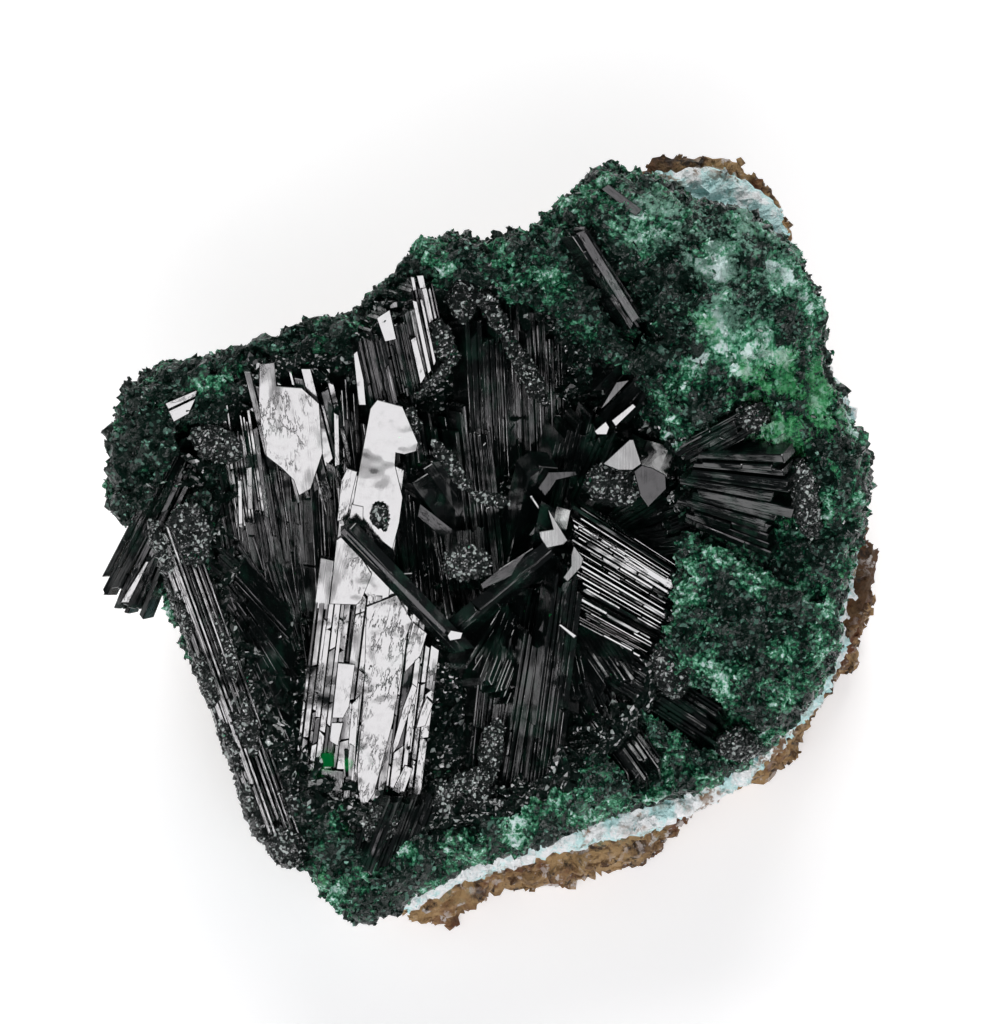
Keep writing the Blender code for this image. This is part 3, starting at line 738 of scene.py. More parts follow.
@dataclass(frozen=True)
class LimoniteFinish:
    """Earthy brown ore with ochre, rust and pale crumbs."""

    brown: Colour = (0.105, 0.052, 0.022, 1.0)
    ochre: Colour = (0.42, 0.27, 0.12, 1.0)
    rust: Colour = (0.150, 0.050, 0.018, 1.0)
    dark: Colour = (0.030, 0.017, 0.010, 1.0)
    pale: Colour = (0.60, 0.55, 0.52, 1.0)
    stain: Colour = (0.20, 0.36, 0.30, 1.0)

    def material(self, name: str, groups: SharedGroups) -> Material:
        """Builds the material.

        Args:
            name: its name.
            groups: the shared groups.

        Returns:
            The material.
        """
        shading = Shading(name, groups, {"IOR": 1.5})
        graph, face = shading.graph, shading.face
        ochre = graph.times(shading.patches(1.1, 0.60, 0.08, 1.0), shading.patches(7.0, 0.65, 0.12, 5.0))
        pale = graph.times(shading.patches(0.7, 0.34, 0.03, 4.0), shading.patches(5.0, 0.55, 0.10, 6.0))
        stain = graph.times(graph.ramp(shading.w, -17.0, -12.5), shading.patches(1.6, 0.30, 0.05, 7.0))
        base = shading.coats(
            self.brown,
            (ochre, self.ochre),
            (shading.patches(3.2, 0.36, 0.07, 2.0), self.rust),
            (shading.patches(1.0, 0.34, 0.05, 3.0), self.dark),
            (pale, self.pale),
            (stain, self.stain),
        )
        height = graph.times_plus(graph.noise(face, 4.0, 4.0, 0.7), 0.8, graph.noise(face, 1.3, 4.0))
        rough = graph.ramp(graph.noise(face, 3.0), 0.3, 0.7, 0.62, 0.92)
        return shading.dress(base_color=base, roughness=rough, normal=shading.relief(height, 0.3))


@dataclass(frozen=True)
class FloorFinish:
    """Plain pale paper."""

    pale: Colour = (0.84, 0.84, 0.84, 1.0)
    paler: Colour = (0.86, 0.86, 0.86, 1.0)
    glow: float = 0.45

    def material(self, name: str, groups: SharedGroups) -> Material:
        """Builds the material.

        Args:
            name: its name.
            groups: the shared groups.

        Returns:
            The material.
        """
        fixed = {"Roughness": 0.8, "Emission Color": self.pale, "Emission Strength": self.glow}
        shading = Shading(name, groups, fixed)
        return shading.dress(
            base_color=shading.graph.blend(shading.patches(30.0, 0.5, 0.2, 1.0), self.pale, self.paler)
        )


# Geometry node trees

STONE_LENGTHS = ("Swell", "Lump Size", "Lump Height", "Facet Size", "Pit Size", "Pit Depth", "Grain Height")
GROWN_LENGTHS = ("Patch Size", "Smallest", "Largest", "Lowest", "Face Low", "Face High")


def in_metres(settings: Any, names: tuple[str, ...]) -> dict[str, float]:
    """The lengths that a tree takes, from settings in millimetres whose fields have the same names."""
    return {name: getattr(settings, name.lower().replace(" ", "_")) * MM for name in names}


def geometry_tree(name: str, inputs: dict[str, str]) -> tuple[Graph, Any, Any]:
    """Starts a geometry node tree.

    Args:
        name: its name.
        inputs: its inputs after the geometry, as name and kind.

    Returns:
        Its graph, its input node and its output node.
    """
    tree = bpy.data.node_groups.new(name, "GeometryNodeTree")
    interface(tree, "INPUT", {"Geometry": "Geometry", **inputs})
    interface(tree, "OUTPUT", {"Geometry": "Geometry"})
    graph = Graph(tree)
    return graph, graph.add("NodeGroupInput"), graph.add("NodeGroupOutput")


def finish_tree(graph: Graph, given: Any, result: Any, geometry: Socket) -> Tree:
    """Ends a geometry tree with Realize Instances and Set Material.

    Args:
        graph: the tree's graph.
        given: its input node.
        result: its output node.
        geometry: what the tree has made.

    Returns:
        The tree.
    """
    real = graph.add("GeometryNodeRealizeInstances", {"Geometry": geometry})
    dressed = graph.add(
        "GeometryNodeSetMaterial", {"Geometry": real.outputs[0], "Material": given.outputs["Material"]}
    )
    graph.feed(result.inputs[0], dressed.outputs[0])
    return graph.tree


def centred(graph: Graph, noise: Socket, height: Any) -> Socket:
    """Noise about 0 whose usual reach either way is a height."""
    return graph.times(graph.minus(noise, 0.5), graph.times(height, 4.0))


def stone_tree() -> Tree:
    """A tree that gives a fine closed mesh the lumps, facets, pits and grain of broken stone.

    Nothing that it moves goes under the plane that the specimen rests on.

    Returns:
        The tree.
    """
    inputs = dict.fromkeys((*STONE_LENGTHS, "Facet Lean", "Seed"), "Float")
    graph, given, result = geometry_tree("stone_surface", {**inputs, "Material": "Material"})
    values = given.outputs
    shift = graph.vector("SCALE", (0.013, 0.017, 0.011), values["Seed"])
    place = graph.vector("ADD", graph.add("GeometryNodeInputPosition").outputs[0], shift)
    lumps = graph.noise(place, graph.over(1.0, values["Lump Size"]), 3.0, 0.5)
    height = graph.plus(centred(graph, lumps, values["Lump Height"]), values["Swell"])
    facets = graph.slope(place, graph.cells(place, values["Facet Size"]))
    height = graph.plus(height, graph.times(facets, values["Facet Lean"]))
    pits = graph.ramp(graph.cells(place, values["Pit Size"]).outputs["Distance"], 0.42, 0.1)
    height = graph.minus(height, graph.times(pits, values["Pit Depth"]))
    grain = graph.noise(place, graph.over(2.4, values["Facet Size"]), 2.0, 0.6)
    height = graph.plus(height, centred(graph, grain, values["Grain Height"]))
    normal = graph.add("GeometryNodeInputNormal").outputs[0]
    rough = graph.add(
        "GeometryNodeSetPosition",
        {"Geometry": values["Geometry"], "Offset": graph.vector("SCALE", normal, height)},
    )
    x, y, z = graph.add(
        "ShaderNodeSeparateXYZ", {0: graph.add("GeometryNodeInputPosition").outputs[0]}
    ).outputs
    above = graph.joined(x, y, graph.most(z, 0.0))
    rested = graph.add("GeometryNodeSetPosition", {"Geometry": rough.outputs[0], "Position": above})
    flat = graph.add("GeometryNodeSetShadeSmooth", {"Geometry": rested.outputs[0], "Shade Smooth": False})
    return finish_tree(graph, given, result, flat.outputs[0])


def grown_tree() -> Tree:
    """A tree that grows small shapes in patches over a surface, each with its own tone.

    Returns:
        The tree.
    """
    inputs = dict.fromkeys((*GROWN_LENGTHS, "Density", "Patch Level", "Lean"), "Float")
    others = {"Seed": "Int", "Shapes": "Collection", "Material": "Material"}
    graph, given, result = geometry_tree("grown_grains", {**inputs, **others})
    values = given.outputs
    place = graph.add("GeometryNodeInputPosition").outputs[0]
    height = graph.add("ShaderNodeSeparateXYZ", {0: place}).outputs[2]
    patch = graph.noise(place, graph.over(1.0, values["Patch Size"]), 3.0, 0.5)
    patch = graph.ramp(patch, values["Patch Level"], graph.plus(values["Patch Level"], 0.06))
    arm = graph.vector("SUBTRACT", place, tuple(Vector(FACE.origin) * MM))
    level = graph.vector("DOT_PRODUCT", arm, tuple(FACE.out()))
    share = graph.times(patch, graph.math("GREATER_THAN", height, values["Lowest"]))
    share = graph.times(share, graph.math("GREATER_THAN", level, values["Face Low"]))
    share = graph.times(share, graph.math("LESS_THAN", level, values["Face High"]))
    points = graph.add(
        "GeometryNodeDistributePointsOnFaces",
        {
            "Mesh": values["Geometry"],
            "Density": graph.times(values["Density"], share),
            "Seed": values["Seed"],
        },
    ).outputs
    # Leans within the limit given, and turns by up to half a circle either way
    tilt = graph.add(
        "FunctionNodeRandomValue",
        {0: (-1.0, -1.0, -3.14), 1: (1.0, 1.0, 3.14), "Seed": values["Seed"]},
        data_type="FLOAT_VECTOR",
    )
    tilt = graph.vector("MULTIPLY", tilt.outputs[0], graph.joined(values["Lean"], values["Lean"], 1.0))
    turn = graph.add("FunctionNodeEulerToRotation", {0: tilt})
    turned = graph.add(
        "FunctionNodeRotateRotation",
        {"Rotation": points["Rotation"], "Rotate By": turn.outputs[0]},
        rotation_space="LOCAL",
    )
    shapes = graph.add(
        "GeometryNodeCollectionInfo",
        {"Collection": values["Shapes"], "Separate Children": True, "Reset Children": True},
    )
    grown = graph.add(
        "GeometryNodeInstanceOnPoints",
        {
            "Points": points["Points"],
            "Instance": shapes.outputs[0],
            "Pick Instance": True,
            "Rotation": turned.outputs[0],
            "Scale": graph.random(values["Smallest"], values["Largest"], graph.plus(values["Seed"], 7.0)),
        },
    )
    tone = graph.random(0.0, 1.0, graph.plus(values["Seed"], 19.0))
    toned = graph.add(
        "GeometryNodeStoreNamedAttribute",
        {"Geometry": grown.outputs[0], "Name": "tone", "Value": tone},
        data_type="FLOAT",
        domain="INSTANCE",
    )
    return finish_tree(graph, given, result, toned.outputs[0])


def run_tree(source: Object, tree: Tree, values: dict[str, Any], name: str) -> Object:
    """Runs a geometry tree on an object and keeps the result as a plain mesh.

    Args:
        source: the object, with any modifiers that come before the tree.
        tree: the geometry tree.
        values: the tree's inputs by name.
        name: the name of the result.

    Returns:
        The result, a new object without modifiers.
    """
    modifier = source.modifiers.new(tree.name, "NODES")
    modifier.node_group = tree
    for item in tree.interface.items_tree:
        if item.in_out == "INPUT" and item.name in values:
            modifier[item.identifier] = values[item.name]
    graph = bpy.context.evaluated_depsgraph_get()
    shown = source.evaluated_get(graph)
    mesh = bpy.data.meshes.new_from_object(shown, preserve_all_data_layers=True, depsgraph=graph)
    mesh.name = name
    source.modifiers.remove(modifier)
    made = bpy.data.objects.new(name, mesh)
    bpy.context.scene.collection.objects.link(made)
    return made


def even_mesh(source: Object, voxel: float) -> Object:
    """Gives a closed helper an even, fine mesh.

    Args:
        source: the helper.
        voxel: the size of the mesh, in millimetres.

    Returns:
        The helper.
    """
    bpy.context.scene.collection.objects.link(source)
    remesh = source.modifiers.new("Even", "REMESH")
    remesh.mode = "VOXEL"
    remesh.voxel_size = voxel * MM
    graph = bpy.context.evaluated_depsgraph_get()
    even = bpy.data.meshes.new_from_object(source.evaluated_get(graph), depsgraph=graph)
    source.modifiers.clear()
    source.data = even
    return source


def copy_of(node: str) -> Object:
    """Copies a node's solid and merges its loose triangles.

    Args:
        node: the node's name.

    Returns:
        The copy, in no collection.
    """
    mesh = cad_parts[node].data.copy()
    bm = bmesh.new()
    bm.from_mesh(mesh)
    bmesh.ops.remove_doubles(bm, verts=bm.verts[:], dist=0.001 * MM)
    bm.to_mesh(mesh)
    bm.free()
    return bpy.data.objects.new(f"{node}_copy", mesh)


def object_from(name: str, bm: bmesh.types.BMesh) -> Object:
    """Makes an object of a finished bmesh.

    Args:
        name: the object's name.
        bm: the bmesh, which is freed.

    Returns:
        The object, in no collection.
    """
    mesh = bpy.data.meshes.new(name)
    bm.to_mesh(mesh)
    bm.free()
    return bpy.data.objects.new(name, mesh)


def bridge(bm: bmesh.types.BMesh, one: list[Any], two: list[Any]) -> None:
    """Joins two rings of corners with four-sided faces.

    Args:
        bm: the bmesh that they are in.
        one: the first ring.
        two: the second, with as many corners.
    """
    for i in range(len(one)):
        j = (i + 1) % len(one)
        bm.faces.new((one[i], one[j], two[j], two[i]))


@dataclass(frozen=True)
class Bowl:
    """The lining of the hollow: a thick uneven skin over its walls and floor.

    Its profile runs from the rim inwards, as the share of the outline's size and the height.
    """

    centre: tuple[float, float] = (-2.3, -1.2)
    outline: Outline = (
        (11.6, -1.2), (12.6, 2.6), (10.9, 7.0), (8.2, 10.6), (5.4, 12.6), (3.4, 14.2), (0.0, 15.0),
        (-3.5, 14.6), (-6.2, 12.2), (-9.0, 10.6), (-12.6, 10.2), (-15.6, 7.6), (-16.6, 4.0),
        (-17.0, 0.0), (-16.0, -4.2), (-14.2, -9.0), (-11.6, -14.2), (-9.0, -16.2), (-5.0, -16.8),
        (-1.0, -16.4), (2.6, -15.2), (6.4, -12.6), (9.2, -9.6), (10.8, -5.4),
    )
    profile: Outline = (
        (1.04, -5.4), (1.02, -4.6), (0.97, -5.2), (0.92, -6.8), (0.82, -8.0), (0.6, -8.5), (0.3, -8.6),
    )
    thick: float = 0.8

    def solid(self) -> Object:
        """Builds the closed skin.

        Returns:
            The skin, in no collection.
        """
        bm = bmesh.new()
        middle = Vector((*self.centre, 0.0))
        arms = [Vector((*corner, 0.0)) - middle for corner in self.outline]
        under = tuple((share, height - self.thick) for share, height in reversed(self.profile))
        rings = []
        for share, height in self.profile + under:
            ring = [bm.verts.new(FACE.point(middle + share * arm + Vector((0, 0, height)))) for arm in arms]
            rings.append(ring)
        for one, two in zip(rings, rings[1:] + rings[:1]):
            if one is rings[len(self.profile) - 1]:
                # The last ring of the profile and the one under it close the floor
                bm.faces.new(one)
                bm.faces.new(list(reversed(two)))
            else:
                bridge(bm, one, two)
        bmesh.ops.recalc_face_normals(bm, faces=bm.faces[:])
        return object_from("bowl", bm)


@dataclass(frozen=True)
class Knobs:
    """Small round lumps of grown crystals: (place, half sizes across, up and out, turn in degrees)."""

    lumps: tuple[tuple[Place, Place, float], ...]

    def solid(self) -> Object:
        """Builds the closed lumps.

        Returns:
            The lumps, in no collection.
        """
        bm = bmesh.new()
        for place, sizes, turn in self.lumps:
            made = bmesh.ops.create_icosphere(bm, subdivisions=3, radius=1.0)
            rotation = Matrix.Rotation(math.radians(turn), 3, "Z")
            for vert in made["verts"]:
                arm = rotation @ Vector(vert.co[i] * sizes[i] for i in range(3))
                vert.co = FACE.point(Vector(place) + arm)
        return object_from("knobs", bm)


def drop(*objects: Object) -> None:
    """Removes helpers that were only needed while building."""
    for obj in objects:
        bpy.data.objects.remove(obj)


def keep_piece(piece: Object, slot: Slot, *nodes: str) -> None:
    """Ties a finished piece to the frame and reports it.

    Args:
        piece: the piece.
        slot: its material slot; not used.
        nodes: the CAD nodes that it stands for.
    """
    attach(piece, ROOT)
    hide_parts(*nodes)
    piece.data.calc_loop_triangles()
    log.info("%s: %d triangles", piece.name, len(piece.data.loop_triangles))


# Small shapes that grow on the stone


def hull_shape(name: str, stretch: Place, corners: int, seed: int) -> Object:
    """An irregular flat-faced chip about one unit long.

    Args:
        name: the shape's name.
        stretch: its half sizes.
        corners: how many points it is drawn round.
        seed: the seed of its irregularity.

    Returns:
        The shape, in no collection.
    """
    draw = random.Random(seed)
    bm = bmesh.new()
    for _ in range(corners):
        arm = Vector((draw.gauss(0, 1), draw.gauss(0, 1), draw.gauss(0, 1))).normalized()
        bm.verts.new(Vector(arm[i] * stretch[i] for i in range(3)))
    hull = bmesh.ops.convex_hull(bm, input=bm.verts[:])
    inside = [item for item in hull["geom_interior"] if isinstance(item, bmesh.types.BMVert)]
    bmesh.ops.delete(bm, geom=inside, context="VERTS")
    bmesh.ops.recalc_face_normals(bm, faces=bm.faces[:])
    return object_from(name, bm)


def needle_shape(name: str, width: float, sides: int, seed: int) -> Object:
    """A small prism one unit long with a slanting wedge end.

    Args:
        name: the shape's name.
        width: its width.
        sides: how many sides it has.
        seed: the seed of its irregularity.

    Returns:
        The shape, in no collection.
    """
    draw = random.Random(seed)
    flatness = 0.62
    slant = 0.12
    bm = bmesh.new()
    loops = []
    for height, share in ((-0.2, 1.0), (0.82, 0.96), (1.0, 0.35)):
        loop = []
        for i in range(sides):
            turn = 2 * math.pi * (i + 0.3 * math.sin(2.1 * i + seed)) / sides
            x, y = width * share * math.cos(turn), flatness * width * share * math.sin(turn)
            loop.append(bm.verts.new((x, y, height + slant * math.cos(turn + seed) * (height > 0))))
        loops.append(loop)
    for one, two in zip(loops, loops[1:]):
        bridge(bm, one, two)
    bm.faces.new(loops[0])
    bm.faces.new(loops[-1])
    bmesh.ops.recalc_face_normals(bm, faces=bm.faces[:])
    turned = Matrix.Rotation(draw.uniform(0, 3), 3, "Z")
    bmesh.ops.rotate(bm, verts=bm.verts[:], cent=(0, 0, 0), matrix=turned)
    return object_from(name, bm)


def shape_set(name: str, shapes: list[Object]) -> bpy.types.Collection:
    """A collection of small shapes that a tree picks from.

    Args:
        name: its name.
        shapes: the shapes.

    Returns:
        The collection, which isn't in the scene.
    """
    group = bpy.data.collections.new(name)
    for shape in shapes:
        group.objects.link(shape)
    return group


@dataclass
class SmallShapes:
    """The chips and needles that the trees scatter."""

    chips: bpy.types.Collection = field(init=False)
    needles: bpy.types.Collection = field(init=False)

    def __post_init__(self) -> None:
        """Builds both sets."""
        chips = [hull_shape(f"chip_{i}", (0.5, 0.40, 0.44), 6, 10 + i) for i in range(6)]
        needles = [needle_shape(f"needle_{i}", 0.16 + 0.05 * i, 4 + i % 2, 20 + i) for i in range(4)]
        self.chips = shape_set("chips", chips)
        self.needles = shape_set("needles", needles)


# The rock layers


@dataclass(frozen=True)
class Surface:
    """How broken a stone's surface is. Sizes in millimetres."""

    voxel: float
    swell: float
    lump_size: float
    lump_height: float
    facet_size: float
    facet_lean: float
    pit_size: float
    pit_depth: float
    grain_height: float
    seed: float

    def inputs(self, material: Material) -> dict[str, Any]:
        """Gives the stone tree its values, in metres.

        Args:
            material: the stone's material.

        Returns:
            The tree's inputs by name.
        """
        others = {"Facet Lean": self.facet_lean, "Seed": self.seed, "Material": material}
        return {**in_metres(self, STONE_LENGTHS), **others}


@dataclass(frozen=True)
class Grains:
    """How small shapes grow on a stone. Sizes in millimetres.

    They grow above the lowest height, and between two levels of the face frame.
    """

    name: str
    per_square_mm: float
    smallest: float
    largest: float
    lean: float
    patch_size: float
    patch_level: float
    seed: int
    needles: bool = False
    lowest: float = 0.6
    face_low: float = -40.0
    face_high: float = 40.0

    def inputs(self, shapes: SmallShapes, material: Material) -> dict[str, Any]:
        """Gives the grain tree its values, in metres.

        Args:
            shapes: the small shapes.
            material: the grains' material.

        Returns:
            The tree's inputs by name.
        """
        return {
            **in_metres(self, GROWN_LENGTHS),
            "Density": self.per_square_mm / MM**2,
            "Patch Level": self.patch_level,
            "Lean": self.lean,
            "Seed": self.seed,
            "Shapes": shapes.needles if self.needles else shapes.chips,
            "Material": material,
        }


@dataclass
class Trees:
    """The geometry node trees, built once."""

    stone: Tree = field(default_factory=stone_tree)
    grown: Tree = field(default_factory=grown_tree)


@dataclass
class RockLayer:
    """One rock layer: a fine broken copy of its solid, and the grains that grow on it."""

    name: str
    node: str
    slot: Slot
    surface: Surface
    grains: tuple[Grains, ...]
    shape: Bowl | Knobs | None = None

    def build(self, trees: Trees, shapes: SmallShapes, looks: dict[str, Material]) -> None:
        """Makes the layer's pieces and ties them to the frame.

        Args:
            trees: the geometry trees.
            shapes: the small shapes.
            looks: the materials by name.
        """
        rough = even_mesh(self.shape.solid() if self.shape else copy_of(self.node), self.surface.voxel)
        stone = run_tree(rough, trees.stone, self.surface.inputs(looks[self.name]), self.name)
        for grains in self.grains:
            grown = run_tree(stone, trees.grown, grains.inputs(shapes, looks[grains.name]), grains.name)
            keep_piece(grown, self.slot, self.node)
        keep_piece(stone, self.slot, self.node)
        drop(rough)


# The prisms. Lengths are in millimetres, slants are slopes, a sink is in bevels, a share is of the
# rib or of the column, and a tilt is in degrees

RIB_WIDTHS = (0.5, 1.7)
RIB_BEVEL = (0.015, 0.06)
RIB_BEVEL_SHARE = 0.22
RIB_ROOT = 0.05
RIB_NIP = 0.05
RIB_NIP_SHARE = 0.2
RIB_GAP = 0.02
SHORTEST_RIB = 0.3
BROKEN_SHARE = (0.08, 0.45)
LOW_SLANT = 0.9
HIGH_SLANT = 1.1
LOW_SINK = 2.2
HIGH_SINK = 1.2
WHOLE_STEP = 1.6
WHOLE_TILT = 0.3
WHOLE_OVERLAP = 0.4


@dataclass(frozen=True)
class Lath:
    """One flat prism of a bundle: its edges across, its ends as shares of the length, its lift."""

    left: float
    right: float
    start: float
    end: float
    lift: float = 0.0


@dataclass(frozen=True)
class Growth:
    """How the ribs of a bundle differ from each other.

    The step, the groove and the rib's width are in millimetres and the tilt in degrees. Above 1,
    whole_from leaves no lath whole at its high end.
    """

    rib: float = 0.34
    step: float = 0.05
    tilt: float = 3.0
    broken: float = 0.4
    whole_from: float = 2.0
    etch: float = 0.0
    groove: float = 0.02
    ragged: float = 0.14
    stria: float = 0.0


@dataclass(frozen=True)
class Bundle:
    """Laths grown side by side along one axis, from its low end to its high end on the face.

    The laths spread by some degrees either way from a point that lies before the low end.
    """

    low: Place
    high: Place
    thick: float
    laths: tuple[Lath, ...]
    roll: float = 0.0
    growth: Growth = Growth()
    spread: float = 0.0
    spread_from: float = 3.0
    broad_lean: float = math.radians(10.0)

    def length(self) -> float:
        """How long the axis is."""
        return (Vector(self.high) - Vector(self.low)).length

    def width(self) -> float:
        """How wide the bundle is across all its laths."""
        return max(lath.right for lath in self.laths) - min(lath.left for lath in self.laths)

    def axes(self) -> tuple[Vector, Vector, Vector]:
        """Gives the bundle's own axes.

        Returns:
            Along the bundle, across it and out of its broad face, in the face frame.
        """
        broad = Vector((0.0, -math.sin(self.broad_lean), math.cos(self.broad_lean)))
        along = (Vector(self.high) - Vector(self.low)).normalized()
        out = (broad - along * broad.dot(along)).normalized()
        out.rotate(Matrix.Rotation(math.radians(self.roll), 3, along))
        return along, along.cross(out), out


def even_laths(width: float, count: int, seed: int, slack: float = 0.22) -> tuple[Lath, ...]:
    """Laths of uneven width side by side, as in the part's source.

    Args:
        width: the whole width.
        count: how many laths.
        seed: the seed of their widths and ends.
        slack: how far their ends step, as a share of the length.

    Returns:
        The laths.
    """
    draw = random.Random(seed)
    shares = [draw.uniform(0.6, 1.4) for _ in range(count)]
    scale = width / sum(shares)
    overlap = 0.05
    step = 0.18
    laths = []
    left = -width / 2
    for share in shares:
        right = left + share * scale
        start, end = draw.uniform(0.0, slack * 0.5), 1.0 - draw.uniform(0.0, slack)
        laths.append(Lath(left - overlap, right + overlap, start, end, draw.uniform(-step, step)))
        left = right
    return tuple(laths)


def set_laths(*rows: tuple[float, ...]) -> tuple[Lath, ...]:
    """Laths whose edges, ends and lift are set one by one."""
    return tuple(Lath(*row) for row in rows)


@dataclass(frozen=True)
class Skin:
    """What differs from one prism's surface to the next, each from 0 to 1."""

    tone: float
    etch: float
    stria: float
    wave: float = 1.0


class PrismMesh:
    """Collects closed prisms with a map along each one, and a skin for each."""

    def __init__(self) -> None:
        """Starts with nothing."""
        self.points: list[Vector] = []
        self.faces: list[tuple[int, ...]] = []
        self.maps: list[tuple[float, float]] = []
        self.skins: list[Skin] = []

    def add(self, loops: list[list[Vector]], maps: list[list[tuple[float, float]]], skin: Skin) -> None:
        """Adds a closed prism.

        Args:
            loops: rings of face-frame points, with as many points each, from end to end.
            maps: for each point, its place on the prism's surface in millimetres.
            skin: its surface.
        """
        first = len(self.points)
        size = len(loops[0])
        for loop, row in zip(loops, maps):
            self.points.extend(FACE.point(place) for place in loop)
            self.maps.extend(row)
        for ring in range(len(loops) - 1):
            for i in range(size):
                j = (i + 1) % size
                low, high = first + ring * size, first + (ring + 1) * size
                self.faces.append((low + i, low + j, high + j, high + i))
        self.faces.append(tuple(first + i for i in reversed(range(size))))
        self.faces.append(tuple(first + (len(loops) - 1) * size + i for i in range(size)))
        self.skins.extend([skin] * (size * len(loops)))

    def build(self, name: str, material: Material) -> Object:
        """Makes the object.

        Args:
            name: its name.
            material: its material.

        Returns:
            The object, in the scene.
        """
        mesh = bpy.data.meshes.new(name)
        mesh.from_pydata([tuple(point) for point in self.points], [], self.faces)
        layer = mesh.uv_layers.new(name="UVMap")
        for loop in mesh.loops:
            layer.data[loop.index].uv = self.maps[loop.vertex_index]
        for title in ("tone", "etch", "stria", "wave"):
            values = [getattr(skin, title) for skin in self.skins]
            mesh.attributes.new(title, "FLOAT", "POINT").data.foreach_set("value", values)
        mesh.materials.append(material)
        mesh.update()
        made = bpy.data.objects.new(name, mesh)
        bpy.context.scene.collection.objects.link(made)
        return made


@dataclass(frozen=True)
class Facet:
    """One large flat crystal face with the shaft behind it.

    Its plane passes v = 0 at its level, rises along v, and leans along u. The default rise is that of
    the faces that mirror the key light. Its grain turns clockwise from v, in degrees.
    """

    outline: Outline
    level: float
    thick: float = 0.8
    lean: float = 0.0
    rise: float = 0.176
    grain: float = 0.0
    etch: float = 0.3
    stria: float = 0.0
    bevel: float = 0.035
    wave: float = 0.2

    def add_to(self, target: PrismMesh, tone: float) -> None:
        """Adds the face, its bevel and its shaft.

        Args:
            target: where they go.
            tone: the tone of its skin.
        """
        corners = [Vector(corner) for corner in self.outline]
        count = len(corners)
        turned = sum(a.x * b.y - a.y * b.x for a, b in zip(corners, corners[1:] + corners[:1]))
        if turned < 0:
            corners.reverse()
        middle = sum(corners, Vector((0.0, 0.0))) / count
        sides = [(corners[(i + 1) % count] - corners[i]).normalized() for i in range(count)]
        inward = [Vector((-side.y, side.x)) for side in sides]
        inset = []
        for i, corner in enumerate(corners):
            both = inward[i - 1] + inward[i]
            inset.append(corner + both * self.bevel / max(0.35, 1.0 + inward[i - 1].dot(inward[i])))
        grain = math.radians(self.grain)
        loops, maps = [], []
        for ring, sink in ((corners, self.thick), (corners, self.bevel), (inset, 0.0)):
            loop, row = [], []
            for corner in ring:
                height = self.level + self.rise * corner.y + self.lean * (corner.x - middle.x) - sink
                loop.append(Vector((corner.x, corner.y, height)))
                across = corner.x * math.cos(grain) - corner.y * math.sin(grain)
                row.append((across, corner.x * math.sin(grain) + corner.y * math.cos(grain) + sink))
            loops.append(loop)
            maps.append(row)
        target.add(loops, maps, Skin(tone, self.etch, self.stria, self.wave))


